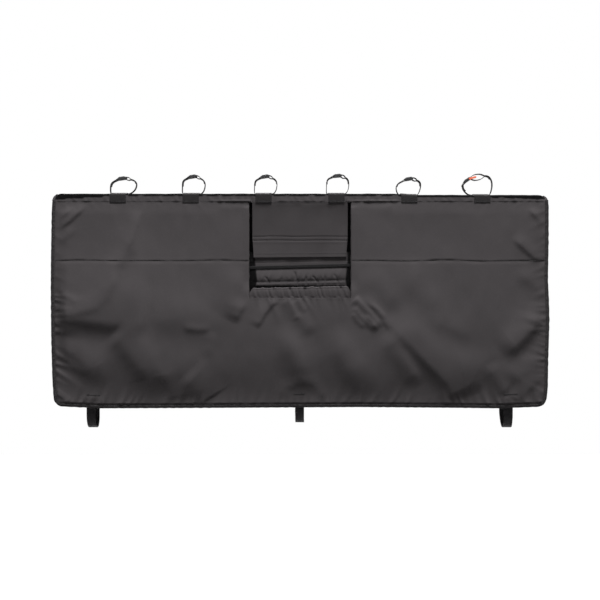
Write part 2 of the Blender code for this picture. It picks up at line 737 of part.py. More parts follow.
def tube_buckles(cutters):
    shape = buckle_mesh(cutters)
    for i, (x, loop, ends) in enumerate(zip(tab_places(), TUBE_LOOPS, TUBE_ENDS), 1):
        piece = add_piece(f"tube_buckle_{i}", shape.copy(), "buckle")
        piece.location = (x + loop["buckle"][0], 0, TOP_FACE + loop["buckle"][1])
        piece.rotation_euler = (0, -math.radians(ends["tilt"]), 0)
    pull_tab(tab_places()[-1], TUBE_LOOPS[-1], TUBE_ENDS[-1])


def pull_tab(x, loop, ends):
    """A short coloured tab on the last buckle's near cheek, reaching over the strap's eye."""
    near = TUBE_STRAP_WIDTH / 2 + GAP + CHEEK_THICK + GAP
    start = Vector(loop["buckle"]) + Vector((x, TOP_FACE)) + unit(ends["tilt"]) * PULL_TAB_START
    lean_deg = PULL_TAB_LEAN - ends["droop"]
    corner = PULL_TAB_WIDTH / 2
    tip = start + unit(lean_deg) * (PULL_TAB_LENGTH - 2 * corner)
    outline = arc(start, corner, lean_deg + 90, lean_deg + 270, PULL_TAB_STEPS)
    outline += arc(tip, corner, lean_deg - 90, lean_deg + 90, PULL_TAB_STEPS)
    prism("pull_tab", outline, -near - PULL_TAB_THICK, -near, facing_front, "pull_tab")


# Straps under the tailgate


def under_straps():
    """Webbing from inside the front hem, round under the tailgate, up to a lock on the rear panel."""
    thick = UNDER_STRAP_THICK
    sewn_y = -HALF_CHANNEL + GAP + thick / 2
    front_y = -HALF_CHANNEL + BINDING_OUT + GAP + thick / 2
    rear_y = BINDING_FACE + GAP + thick / 2
    lock_y = rear_y + thick / 2 + LOCK_CLEAR
    lock_low = -REAR_DROP + LOCK_ABOVE_HEM
    bar_z = lock_low + LOCK_BAR / 2
    top_bar_z = lock_low + LOCK_LENGTH - LOCK_BAR / 2
    for name, x in UNDER_PLACES.items():
        low = -FRONT_DROP - UNDER_STRAP_HANG[name]
        bend_top = low + thick / 2 + UNDER_BEND_DEPTH
        middle = (front_y + rear_y) / 2
        hem = -FRONT_DROP + BINDING_WIDTH
        front = [Vector((sewn_y, -FRONT_DROP + UNDER_STRAP_SEWN)), Vector((sewn_y, hem + BINDING_WIDTH)),
                 Vector((front_y, hem + 2 * GAP))]
        if bend_top < -FRONT_DROP - 2 * GAP:
            front.append(Vector((front_y, -FRONT_DROP)))
        bend = half_ellipse((middle, bend_top), (rear_y - front_y) / 2, UNDER_BEND_DEPTH, UNDER_BEND_STEPS)
        climb = (bar_z - bend_top) / UNDER_RISE_STEPS
        rise = [Vector((rear_y, bend_top + climb * i)) for i in range(1, UNDER_RISE_STEPS)]
        over = arc((lock_y, bar_z), LOCK_CLEAR + thick / 2, 180, 0)
        tail = [Vector((over[-1].x, bar_z - LOCK_BAR)), Vector((over[-1].x + thick, bar_z - UNDER_TAIL))]
        path = front + bend + rise + over + tail
        half = UNDER_STRAP_WIDTH / 2
        prism(f"under_strap_{name}", ribbon(path, thick), x - half, x + half, across_width, "webbing")
        ladder_lock(f"ladder_lock_{name}", x, lock_y, lock_low)
        anchor(f"lock_anchor_{name}", x, lock_y, top_bar_z)


def ladder_lock(name, x, lock_y, low):
    """A moulded frame with three bars and two slots, lying flat against the rear panel."""
    half = UNDER_STRAP_WIDTH / 2 + 2 * GAP
    outer = half + LOCK_BAR
    slot = (LOCK_LENGTH - 3 * LOCK_BAR) / 2
    bars = [low, low + LOCK_BAR + slot, low + 2 * (LOCK_BAR + slot)]
    bm = bmesh.new()
    columns = [-outer, -half, half, outer]
    rows = [bars[0], bars[0] + LOCK_BAR, bars[1], bars[1] + LOCK_BAR, bars[2], bars[2] + LOCK_BAR]
    face_y = lock_y - LOCK_THICK / 2
    grid = bmesh.ops.create_grid(bm, x_segments=3, y_segments=5, size=0.5)["verts"]
    for vert in grid:
        column = round((vert.co.x + 0.5) * 3)
        row = round((vert.co.y + 0.5) * 5)
        vert.co = (x + columns[column], face_y, rows[row])
    holes = [f for f in bm.faces if is_slot(f, x, half, rows)]
    bmesh.ops.delete(bm, geom=holes, context="FACES")
    grown = bmesh.ops.extrude_face_region(bm, geom=list(bm.faces))["geom"]
    moved = [g for g in grown if isinstance(g, bmesh.types.BMVert)]
    bmesh.ops.translate(bm, verts=moved, vec=(0, LOCK_THICK, 0))
    add_piece(name, mesh_from(bm, name), "buckle")


def is_slot(face, x, half, rows):
    centre = face.calc_center_median()
    in_width = abs(centre.x - x) < half
    return in_width and (rows[1] < centre.z < rows[2] or rows[3] < centre.z < rows[4])


def anchor(name, x, lock_y, bar_z):
    """Short webbing sewn to the rear panel, folded round the lock's top bar."""
    thick = UNDER_STRAP_THICK
    inner_y = OUTER_FACE + GAP + thick / 2
    join_z = bar_z + ANCHOR_FREE
    sewn = [Vector((inner_y, join_z + ANCHOR_SEWN * (1 - i / ANCHOR_STEPS))) for i in range(ANCHOR_STEPS + 1)]
    path = sewn_end(sewn, Vector((lock_y, bar_z)), LOCK_CLEAR, 0.0, thick, ANCHOR_SEWN)
    half = UNDER_STRAP_WIDTH / 2
    prism(name, ribbon(path, thick), x - half, x + half, across_width, "webbing")


def build():
    empty_scene()
    new_collection("tailgate_bike_pad")
    cutters = new_collection("cutters")
    front_panel()
    rear_panel()
    top_panel()
    access_flap()
    backing_panel()
    strap_tabs()
    tube_straps()
    tube_buckles(cutters)
    under_straps()


build()
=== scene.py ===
"""Looks of the tailgate bike pad: its fabric with folds and puckers, bindings, window, straps and stitching.

Distances are in metres, in the part's own frame: X along the tailgate, -Y the outside, +Z up. Features of the
front face are placed by where the photograph shows them, in its pixels, which at() turns into metres.
"""

import math

import bmesh
import bpy
import numpy as np
from mathutils import Matrix, Vector


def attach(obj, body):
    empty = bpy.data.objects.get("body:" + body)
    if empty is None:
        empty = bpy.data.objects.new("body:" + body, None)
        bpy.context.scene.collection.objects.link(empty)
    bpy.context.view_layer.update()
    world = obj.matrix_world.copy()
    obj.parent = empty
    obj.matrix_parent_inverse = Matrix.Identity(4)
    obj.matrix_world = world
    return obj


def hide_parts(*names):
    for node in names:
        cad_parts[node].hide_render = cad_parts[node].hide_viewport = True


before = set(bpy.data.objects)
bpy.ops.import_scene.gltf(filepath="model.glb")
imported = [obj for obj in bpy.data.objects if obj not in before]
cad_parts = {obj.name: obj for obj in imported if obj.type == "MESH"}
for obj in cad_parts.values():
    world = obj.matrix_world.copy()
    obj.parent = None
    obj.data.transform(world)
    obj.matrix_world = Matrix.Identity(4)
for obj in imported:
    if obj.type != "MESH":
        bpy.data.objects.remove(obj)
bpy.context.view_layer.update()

# Sizes of the pad, as in its solids
HALF = 0.7875
FRONT_DROP = 0.668
REAR_DROP = 0.320
HALF_CHANNEL = 0.039
PAD_THICK = 0.0113
OUTER = HALF_CHANNEL + PAD_THICK
BINDING_FACE = 0.0518
SEAM = 0.0170
INNER_BEND = 0.015
CORNER = 0.030
GAP = 0.0003
SHELL = 0.0012
LINING = 0.0013
FOAM = 0.0078
SHEET_INSET = 0.0015
FOAM_INSET = 0.003
BINDING_WIDTH = 0.011
WINDOW = 0.161
WINDOW_LOW = -0.3205
FLAP_LOW = -0.191
FLAP_HALF = 0.151
TAB_PITCH = 0.2304
TAB_WIDTH = 0.051
TAB_DROP = 0.0190
TAB_THICK = 0.0012
STRAP_WIDTH = 0.020
STRAP_THICK = 0.0020
UNDER_OFFSET = 0.663
UNDER_WIDTH = 0.028
UNDER_THICK = 0.0016
THREAD = 0.00035
TABS = [TAB_PITCH * (i - 2.5) for i in range(6)]

# The photograph: its size and middle in pixels, metres a pixel at the front face, and the height it looks at
PHOTO_SIZE = 600
PHOTO_MIDDLE = 300
PIXEL = 0.003161
VIEW_Z = -0.3267


def at(px, py):
    """X and Z of a place in the photograph."""
    return (px - PHOTO_MIDDLE) * PIXEL, VIEW_Z + (PHOTO_MIDDLE - py) * PIXEL


def to_photo(x, z):
    """Column and row in the photograph at X and Z, the reverse of at()."""
    return x / PIXEL + PHOTO_MIDDLE, PHOTO_MIDDLE - (z - VIEW_Z) / PIXEL


def smooth(t):
    """An S-shaped step from 0 to 1."""
    t = np.clip(t, 0, 1)
    return t * t * (3 - 2 * t)


def lumps(x, count, seed, low, high):
    """A smooth random wave along x: a sum of sines with wavelengths from low to high, between about -1 and 1."""
    rng = np.random.default_rng(seed)
    total = np.zeros_like(np.asarray(x, float))
    for _ in range(count):
        wave = rng.uniform(low, high)
        total = total + np.sin(np.asarray(x) * 2 * math.pi / wave + rng.uniform(0, 2 * math.pi))
    return total / math.sqrt(count)


def rough(x, z, count, seed, low, high):
    """A smooth random surface over x and z, between about -1 and 1."""
    rng = np.random.default_rng(seed)
    total = np.zeros_like(x)
    for _ in range(count):
        wave = rng.uniform(low, high)
        turn = rng.uniform(0, math.pi)
        across = x * math.cos(turn) + z * math.sin(turn)
        total = total + np.sin(across * 2 * math.pi / wave + rng.uniform(0, 2 * math.pi))
    return total / math.sqrt(count)


# Materials


def new_group(name, inputs, outputs):
    """A node group with its sockets, and its two end nodes."""
    tree = bpy.data.node_groups.new(name, "ShaderNodeTree")
    for label, kind in inputs:
        tree.interface.new_socket(label, in_out="INPUT", socket_type=kind)
    for label, kind in outputs:
        tree.interface.new_socket(label, in_out="OUTPUT", socket_type=kind)
    return tree, tree.nodes.new("NodeGroupInput"), tree.nodes.new("NodeGroupOutput")


def add(tree, kind, inputs=None, **settings):
    """A node with its settings. An input is a value, or the socket that feeds it."""
    made = tree.nodes.new(kind)
    for key, value in settings.items():
        setattr(made, key, value)
    for key, value in (inputs or {}).items():
        if isinstance(value, bpy.types.NodeSocket):
            tree.links.new(value, made.inputs[key])
        else:
            made.inputs[key].default_value = value
    return made


def maths(tree, operation, *values):
    """The result of a maths node."""
    return add(tree, "ShaderNodeMath", dict(enumerate(values)), operation=operation).outputs[0]


def weave_group():
    """Woven threads over a place in metres: the height of the threads, and how their shade varies."""
    tree, start, end = new_group(
        "woven_threads",
        [("Place", "NodeSocketVector"), ("Across", "NodeSocketFloat"), ("Along", "NodeSocketFloat")],
        [("Height", "NodeSocketFloat"), ("Shade", "NodeSocketFloat")])
    parts = add(tree, "ShaderNodeSeparateXYZ", {0: start.outputs["Place"]})
    across = maths(tree, "SINE", maths(tree, "MULTIPLY", parts.outputs[0], start.outputs["Across"]))
    along = maths(tree, "SINE", maths(tree, "MULTIPLY", parts.outputs[1], start.outputs["Along"]))
    threads = maths(tree, "MULTIPLY", across, along)
    height = maths(tree, "MULTIPLY_ADD", threads, 0.5, 0.5)
    fibre = add(tree, "ShaderNodeTexNoise", {"Vector": start.outputs["Place"], "Scale": 900.0, "Detail": 3.0})
    shade = maths(tree, "MULTIPLY_ADD", height, 0.12, maths(tree, "MULTIPLY", fibre.outputs[0], 0.24))
    tree.links.new(height, end.inputs["Height"])
    tree.links.new(shade, end.inputs["Shade"])
    return tree


def worn_group():
    """Slow changes of shade over the object: broad cloudiness, and fine dust."""
    tree, start, end = new_group(
        "broad_tone", [("Place", "NodeSocketVector")], [("Tone", "NodeSocketFloat"), ("Dust", "NodeSocketFloat")])
    broad = add(tree, "ShaderNodeTexNoise", {"Vector": start.outputs["Place"], "Scale": 5.0, "Detail": 4.0})
    fine = add(tree, "ShaderNodeTexNoise", {"Vector": start.outputs["Place"], "Scale": 160.0, "Detail": 5.0,
                                            "Roughness": 0.7})
    tree.links.new(maths(tree, "MULTIPLY_ADD", broad.outputs[0], 0.24, 0.88), end.inputs["Tone"])
    dust = add(tree, "ShaderNodeMapRange", {"Value": fine.outputs[0], "From Min": 0.55, "From Max": 0.8})
    tree.links.new(dust.outputs[0], end.inputs["Dust"])
    return tree


WEAVE = weave_group()
TONE = worn_group()


def begin(name, colour):
    """A new material, its node tree, its texture coordinates, and the slow tone over the object."""
    material = bpy.data.materials.new(name)
    material.use_nodes = True
    material.diffuse_color = (*colour, 1.0)
    tree = material.node_tree
    where = add(tree, "ShaderNodeTexCoord")
    tone = add(tree, "ShaderNodeGroup", {"Place": where.outputs["Object"]}, node_tree=TONE)
    return material, tree, where, tone


def dusted(tree, tone, base, dust, dust_colour):
    """A base colour under a share of dust."""
    share = maths(tree, "MULTIPLY", tone.outputs["Dust"], dust)
    mixed = add(tree, "ShaderNodeMix", {"Factor": share, 6: base, 7: (*dust_colour, 1.0)}, data_type="RGBA")
    return mixed.outputs[2]


def connect(tree, colour, roughness, height, distance, strength, specular):
    """Feeds the Principled shader."""
    shader = tree.nodes["Principled BSDF"]
    tree.links.new(colour, shader.inputs["Base Color"])
    tree.links.new(roughness, shader.inputs["Roughness"])
    bump = add(tree, "ShaderNodeBump", {"Height": height, "Distance": distance, "Strength": strength})
    tree.links.new(bump.outputs[0], shader.inputs["Normal"])
    shader.inputs["Specular IOR Level"].default_value = specular
    return shader


def fabric(name, colour, roughness, threads=(2400.0, 2400.0), relief=0.00012, sheen=0.0, place="UV",
           specular=0.25, dust=0.10, attribute=None, second=None):
    """A woven material. With an attribute, the second colour shows where that attribute is 1."""
    material, tree, where, tone = begin(name, colour)
    across, along = threads
    weave = add(tree, "ShaderNodeGroup", {"Place": where.outputs[place], "Across": across, "Along": along},
                node_tree=WEAVE)
    base = (*colour, 1.0)
    if attribute:
        mask = add(tree, "ShaderNodeAttribute", attribute_name=attribute)
        base = add(tree, "ShaderNodeMix", {"Factor": mask.outputs["Fac"], 6: base, 7: (*second, 1.0)},
                   data_type="RGBA").outputs[2]
    strength = maths(tree, "MULTIPLY", maths(tree, "ADD", weave.outputs["Shade"], 0.82), tone.outputs["Tone"])
    shaded = add(tree, "ShaderNodeMix", {"Factor": 1.0, 6: base, 7: strength}, data_type="RGBA",
                 blend_type="MULTIPLY")
    rougher = maths(tree, "MULTIPLY_ADD", weave.outputs["Shade"], 0.2, roughness - 0.04)
    shader = connect(tree, dusted(tree, tone, shaded.outputs[2], dust, DUST), rougher, weave.outputs["Height"],
                     relief, 0.5, specular)
    shader.inputs["Sheen Weight"].default_value = sheen
    shader.inputs["Sheen Roughness"].default_value = 0.4
    return material


def plastic(name, colour, roughness):
    """Moulded plastic: faint grain, a little dust in its tone, slightly worn roughness."""
    material, tree, where, tone = begin(name, colour)
    grain = add(tree, "ShaderNodeTexNoise", {"Vector": where.outputs["Object"], "Scale": 2500.0, "Detail": 2.0})
    rougher = maths(tree, "MULTIPLY_ADD", tone.outputs["Tone"], 0.25, roughness - 0.25)
    connect(tree, dusted(tree, tone, (*colour, 1.0), 0.12, PLASTIC_DUST), rougher, grain.outputs[0], 0.00008, 0.4,
            0.35)
    return material


DUST = (0.16, 0.155, 0.15)
PLASTIC_DUST = (0.12, 0.12, 0.12)
SHELL_COLOUR = (0.066, 0.0605, 0.0625)
BLACK = (0.0050, 0.0048, 0.0050)
LOOKS = {
    # the second colour, near black, shows the black top strip, the painted shade at its ends, and painted shade
    # on the window's backing panel
    "shell": fabric("coated_polyester", SHELL_COLOUR, 0.75, specular=0.02, attribute="dark", second=BLACK),
    "binding": fabric("binding_tape", (0.030, 0.028, 0.029), 0.75, threads=(3200.0, 1600.0), specular=0.06),
    "lining": fabric("brushed_lining", (0.045, 0.044, 0.047), 0.90, threads=(900.0, 900.0), relief=0.0004,
                     sheen=0.5, specular=0.1, dust=0.3),
    "webbing": fabric("black_webbing", (0.018, 0.017, 0.018), 0.70, threads=(2600.0, 5200.0), relief=0.0003,
                      specular=0.08),
    "tab": fabric("tab_webbing", (0.023, 0.0215, 0.022), 0.75, threads=(2600.0, 5200.0), relief=0.0003,
                  specular=0.06),
    "hook_tape": fabric("hook_and_loop_tape", (0.016, 0.0155, 0.016), 0.95, threads=(4200.0, 4200.0),
                        relief=0.0006, specular=0.1),
    "elastic": fabric("ribbed_elastic", (0.55, 0.55, 0.53), 0.80, threads=(200.0, 6000.0), relief=0.0005,
                      place="Object"),
    "foam": fabric("cell_foam", (0.30, 0.30, 0.31), 0.90, threads=(1500.0, 1500.0), relief=0.0005,
                   place="Object"),
    "hook_flat": fabric("hook_tape_flat", (0.016, 0.0155, 0.016), 0.95, threads=(4200.0, 4200.0),
                        relief=0.0006, specular=0.1, place="Object"),
    "thread": fabric("sewing_thread", (0.075, 0.072, 0.072), 0.60, threads=(9000.0, 9000.0), place="Object"),
    "dark_thread": fabric("black_thread", (0.020, 0.019, 0.020), 0.60, threads=(9000.0, 9000.0), place="Object"),
    "pull": fabric("orange_tape", (0.87, 0.19, 0.10), 0.60, threads=(2600.0, 2600.0), place="Object"),
    "buckle": plastic("moulded_plastic", (0.012, 0.012, 0.013), 0.42),
}


# Pieces


def settle(piece, look, replaced=()):
    """Gives a piece its look, its body and the solids that it stands for."""
    piece.data.materials.clear()
    piece.data.materials.append(LOOKS[look])
    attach(piece, "root")
    if replaced:
        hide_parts(*replaced)
    return piece


def new_piece(name, bm):
    """An object with the mesh that bm holds."""
    mesh = bpy.data.meshes.new(name)
    bm.to_mesh(mesh)
    bm.free()
    piece = bpy.data.objects.new(name, mesh)
    bpy.context.scene.collection.objects.link(piece)
    return piece


def cloth(us, vs, place, keep=None, paint=None):
    """A grid of cloth. place(u, v) gives X, Y and Z; its outward side is where u turns to v. UVs are u and v.

    keep(u, v) says which faces stay, and paint(u, v) where the second colour shows.
    """
    us = np.asarray(us, float)
    vs = np.asarray(vs, float)
    bm = bmesh.new()
    bmesh.ops.create_grid(bm, x_segments=len(us) - 1, y_segments=len(vs) - 1, size=0.5)
    column = [round((v.co.x + 0.5) * (len(us) - 1)) for v in bm.verts]
    row = [round((v.co.y + 0.5) * (len(vs) - 1)) for v in bm.verts]
    u = us[column]
    v = vs[row]
    x, y, z = place(u, v)
    layer = bm.loops.layers.uv.new("UVMap")
    for vert, i in zip(bm.verts, range(len(u))):
        vert.co = (x[i], y[i], z[i])
    if paint is not None:
        dark = bm.verts.layers.float.new("dark")
        for vert, level in zip(bm.verts, paint(u, v)):
            vert[dark] = level
    for face in bm.faces:
        face.smooth = True
        for loop in face.loops:
            i = loop.vert.index
            loop[layer].uv = (u[i], v[i])
    if keep is not None:
        gone = []
        for face in bm.faces:
            i = [vert.index for vert in face.verts]
            if not keep(u[i].mean(), v[i].mean()):
                gone.append(face)
        bmesh.ops.delete(bm, geom=gone, context="FACES")
    for edge in bm.edges:
        edge.smooth = not edge.is_boundary
    return bm


def thicken(piece, thickness, offset=-1.0):
    """Gives a sheet its thickness, behind its outward side unless offset says otherwise."""
    wall = piece.modifiers.new("cloth", "SOLIDIFY")
    wall.thickness = thickness
    wall.offset = offset
    wall.use_even_offset = True
    return piece


def round_edges(piece, width, segments=2, angle=50):
    """Rounds the edges that are sharper than the angle."""
    edge = piece.modifiers.new("edges", "BEVEL")
    edge.width = width
    edge.segments = segments
    edge.limit_method = "ANGLE"
    edge.angle_limit = math.radians(angle)
    return piece


def steps(low, high, size):
    """Even steps from low to high, each about as long as size."""
    return np.linspace(low, high, max(2, int(round(abs(high - low) / size)) + 1))


def spread(points):
    """Running length along a list of 2D points."""
    return np.concatenate([[0], np.cumsum(np.hypot(*np.diff(np.asarray(points, float), axis=0).T))])


COARSE = 1.0


# Outline of the front panel, which bows a little between its seams

LEFT_EDGE = [(196, 53.4), (203, 51.9), (215, 51.4), (260, 50.7), (290, 50.5), (340, 51.0), (380, 52.1),
             (400, 53.4)]
RIGHT_EDGE = [(196, 547.2), (203, 548.9), (240, 548.9), (280, 548.2), (300, 549.2), (320, 549.7), (360, 548.5),
              (390, 548.0), (400, 546.8)]
HEM_EDGE = [(60, 406.7), (80, 407.6), (100, 408.5), (200, 408.1), (360, 407.2), (460, 408.0), (500, 408.5),
            (540, 407.0)]


def bow(x, z):
    """Moves a point of the front panel so that its edges follow the photograph."""
    px, py = to_photo(x, z)
    left = (np.interp(py, *zip(*LEFT_EDGE)) - to_photo(-HALF, 0)[0]) * PIXEL
    right = (np.interp(py, *zip(*RIGHT_EDGE)) - to_photo(HALF, 0)[0]) * PIXEL
    hem = (to_photo(0, -FRONT_DROP)[1] - np.interp(px, *zip(*HEM_EDGE))) * PIXEL
    left_share = smooth(1 - (x + HALF) / 0.35)
    right_share = smooth(1 - (HALF - x) / 0.35)
    hem_share = smooth(1 - (z + FRONT_DROP) / 0.25)
    top_share = smooth((-0.006 - z) / 0.010)
    return x + (left * left_share + right * right_share) * (0.4 + 0.6 * top_share), z + hem * hem_share


# Folds of the front fabric. Each is a crest line in photograph pixels, from left to right, its height in
# millimetres, how wide it falls away above and below it in pixels, and how much of its length fades at each end.

FOLDS = [
    # top left corner
    ([(54, 231), (69, 220.5), (79, 211), (86, 201)], 3.4, 9, 2.6, (0.3, 0.15)),
    ([(54, 222), (66, 212), (73, 205)], 2.2, 5, 2.6, (0.3, 0.3)),
    ([(54, 243), (66, 236), (76, 226)], 1.6, 6, 4, (0.3, 0.4)),
    # long crease down the left side
    ([(52, 313), (74, 312.5), (97, 305), (107, 296), (112, 282), (116, 266), (130, 248), (138, 221), (144, 200)],
     3.4, 9, 7, (0.1, 0.30)),
    ([(124, 256), (132, 240), (137, 224), (141, 208)], 1.8, 9, 2.6, (0.3, 0.3)),
    ([(54, 314.5), (76, 314), (96, 308), (108, 297), (114, 283), (117, 268)], 2.0, 3.2, 3.2, (0.1, 0.25)),
    ([(55, 285), (64, 295), (76, 301), (90, 299)], 1.4, 4, 3, (0.1, 0.4)),
    # broad fold across the left side
    ([(53, 322), (64, 319.5), (84, 317.5), (110, 318.5), (130, 320.5), (152, 323)], 14.0, 48, 12, (0.04, 0.22)),
    ([(120, 318), (160, 316), (200, 318), (240, 321)], 5.0, 26, 16, (0.35, 0.4)),
    # diagonals below it
    ([(115, 329), (126, 340), (136, 351), (143, 362), (149, 377), (153, 402)], 11.0, 18, 14, (0.15, 0.45)),
    ([(54, 344), (76, 353), (92, 368), (103, 388)], 8.0, 18, 12, (0.08, 0.4)),
    ([(156, 360), (167, 376), (174, 390), (178, 404)], 4.6, 20, 9, (0.45, 0.2)),
    ([(184, 374), (196, 386), (206, 402)], 5.0, 18, 12, (0.3, 0.08)),
    ([(160, 366), (190, 368), (216, 368), (246, 365)], 2.8, 26, 20, (0.35, 0.35)),
    # kink
    ([(183, 322), (189, 328), (200, 329.5), (213, 328)], 2.0, 5, 4, (0.3, 0.3)),
    ([(211, 330), (212, 342), (206, 360)], 1.6, 6, 9, (0.3, 0.4)),
    # window's left corner
    ([(234, 324), (239, 311), (247, 298)], 4.2, 10, 4, (0.35, 0.50)),
    ([(222, 318), (232, 303), (236, 285), (238, 262)], 3.6, 16, 9, (0.3, 0.4)),
    # below the window
    ([(256, 329), (264, 314), (272, 304), (281, 299)], 3.2, 7, 2.4, (0.2, 0.25)),
    ([(284, 297), (290, 305), (296, 315), (299, 321)], 2.6, 3.5, 6, (0.2, 0.2)),
    ([(296, 298), (301, 306), (307, 313)], 1.8, 4, 5, (0.2, 0.3)),
    ([(280, 322), (289, 341), (297, 360), (303, 378), (307, 400)], 7.5, 12, 12, (0.40, 0.45)),
    ([(296, 313), (304, 322), (314, 336)], 3.0, 8, 8, (0.3, 0.4)),
    ([(332, 324), (342, 346), (350, 368), (361, 402)], 7.5, 14, 13, (0.38, 0.45)),
    # window's right corner, a fan of creases
    ([(354, 297), (361, 304), (370, 313), (382, 328)], 3.6, 3.0, 5, (0.1, 0.2)),
    ([(360, 296), (372, 306), (382, 318), (393, 332)], 2.6, 6, 3.2, (0.25, 0.3)),
    ([(353, 306), (360, 316), (370, 325), (380, 331)], 2.8, 3.2, 3.4, (0.15, 0.25)),
    ([(364, 314), (372, 322), (378, 330)], 1.8, 2.2, 2.2, (0.3, 0.3)),
    ([(352, 312), (357, 320), (366, 329)], 2.0, 2.4, 3.0, (0.2, 0.3)),
    ([(368, 302), (378, 310), (386, 320)], 1.8, 2.4, 2.6, (0.3, 0.3)),
    # long valley from the window's right corner to the hem
    ([(384, 316), (398, 330), (414, 345), (433, 366), (449, 384), (459, 404)], 10.0, 24, 8, (0.30, 0.12)),
    ([(384, 330), (396, 348), (408, 368), (420, 388)], 6.0, 8, 12, (0.25, 0.25)),
    # soft diagonals of the right side
    ([(362, 268), (380, 286), (402, 312)], 3.0, 14, 12, (0.35, 0.35)),
    ([(396, 258), (412, 278), (436, 306), (452, 322)], 3.6, 18, 13, (0.35, 0.35)),
    ([(424, 312), (440, 321), (462, 331), (480, 338)], 2.8, 14, 9, (0.35, 0.4)),
    # right edge
    ([(528, 206), (536, 215), (547, 227)], 2.6, 6, 3, (0.3, 0.05)),
    ([(512, 236), (525, 248), (535, 257), (547, 261)], 3.6, 9, 3.2, (0.3, 0.05)),
    ([(516, 268), (530, 279), (547, 292)], 2.2, 9, 7, (0.4, 0.05)),
    ([(500, 355), (513, 346), (524, 335), (533, 325), (548, 322)], 8.0, 15, 8, (0.3, 0.05)),
    ([(508, 384), (520, 372), (534, 366), (548, 364)], 3.5, 12, 9, (0.3, 0.1)),
    ([(518, 403), (528, 389), (540, 380), (548, 376)], 3.0, 11, 5, (0.1, 0.1)),
    # lower right
    ([(488, 362), (494, 374), (502, 388), (510, 394)], 3.4, 10, 7, (0.3, 0.2)),
    ([(448, 372), (462, 366), (478, 370), (490, 380)], 3.0, 14, 20, (0.4, 0.4)),
    ([(340, 372), (362, 380), (385, 386), (404, 392)], 3.0, 28, 20, (0.35, 0.35)),
    # arches round the bar tacks
    ([(281, 402), (286, 388), (300, 381), (314, 384), (320, 394), (325, 403)], 1.8, 6, 5, (0.15, 0.15)),
    ([(80, 402), (85, 399), (95, 398), (101, 402)], 2.2, 3, 4, (0.2, 0.2)),
    ([(498, 402), (504, 399), (513, 398), (521, 402)], 1.6, 3, 4, (0.2, 0.2)),
    # along the top seam
    ([(214, 203), (228, 205), (252, 203)], 2.2, 3, 5, (0.3, 0.1)),
    ([(352, 203), (376, 205), (402, 203.5)], 2.2, 3, 5, (0.1, 0.3)),
]


def ridge(px, py, fold):
    """Height in millimetres of one fold over the photograph's pixels."""
    points, height, above, below, fade = fold
    points = np.asarray(points, float)
    run = spread(points)
    nearest = np.full(px.shape, 1e9)
    side = np.zeros(px.shape)
    along = np.zeros(px.shape)
    for i in range(len(points) - 1):
        dx, dy = points[i + 1] - points[i]
        length = math.hypot(dx, dy)
        t = np.clip(((px - points[i][0]) * dx + (py - points[i][1]) * dy) / length ** 2, 0, 1)
        ox = px - points[i][0] - t * dx
        oy = py - points[i][1] - t * dy
        far = np.hypot(ox, oy)
        closer = far < nearest
        nearest = np.where(closer, far, nearest)
        side = np.where(closer, ox * dy - oy * dx, side)
        along = np.where(closer, run[i] + t * length, along)
    share = along / run[-1]
    level = smooth(share / max(fade[0], 1e-3)) * smooth((1 - share) / max(fade[1], 1e-3))
    wide = np.where(side > 0, above, below)
    return height * level * np.exp(-(nearest / wide) ** 2)


# Puckers that the bindings gather: the edge, the range along it in pixels, how many, how tall in millimetres,
# how wide and how long in pixels, and how they lean as they run inwards.

PUCKERS = [
    ("left", 206, 290, 10, 0.7, 1.9, 8, 0.3),
    ("left", 294, 336, 9, 2.1, 1.5, 13, 0.15),
    ("left", 340, 398, 9, 1.9, 1.9, 13, 0.5),
    ("right", 206, 300, 14, 0.9, 1.8, 9, 0.4),
    ("right", 304, 384, 16, 1.7, 1.7, 13, -0.2),
    ("right", 384, 400, 3, 1.6, 2.0, 13, -0.5),
    ("hem", 60, 146, 13, 3.6, 2.2, 9, 0.5),
    ("hem", 146, 280, 15, 2.2, 2.6, 8, 0.35),
    ("hem", 280, 330, 7, 2.4, 2.2, 7, 0.0),
    ("hem", 330, 440, 12, 2.2, 2.5, 8, 0.4),
    ("hem", 440, 544, 15, 3.2, 2.2, 9, -0.3),
    ("seam", 56, 215, 16, 0.9, 2.0, 6, 0.3),
    ("seam", 385, 545, 16, 0.8, 2.0, 6, -0.2),
    ("casing", 256, 348, 13, 1.8, 1.7, 13, 0.4),
]


def edge_coordinates(edge, px, py):
    """Distance along an edge and inwards from it, in pixels."""
    if edge == "left":
        return py, px - 54.5
    if edge == "right":
        return py, 545.5 - px
    if edge == "hem":
        return px, 404 - py
    if edge == "casing":
        return px, py - 298
    return px, py - 202


def puckers(px, py):
    """Height of the short puckers that the stitching pulls in, at places in the photograph."""
    total = np.zeros(px.shape)
    rng = np.random.default_rng(7)
    for edge, low, high, count, height, wide, long, lean in PUCKERS:
        s, t = edge_coordinates(edge, px, py)
        for i in range(count):
            place = low + (high - low) * (i + rng.uniform(0.1, 0.9)) / count
            tall = height * rng.uniform(0.4, 1.3)
            width = wide * rng.uniform(0.7, 1.4)
            reach = long * rng.uniform(0.5, 1.4)
            drift = lean + rng.uniform(-0.25, 0.25)
            t_in = np.clip(t, 0, None)
            level = np.exp(-t_in / reach) * (t > -4)
            total = total + tall * level * np.exp(-((s - place - drift * t_in) / (width + 0.12 * t_in)) ** 2)
    return total


# How far the panel bellies out above its hem, in millimetres
BELLY = 10.0

# The most that the front fabric can stand off its foam, and where its height begins to be held back to that, in
# millimetres
TALLEST = 21.5
FREE = 15.0


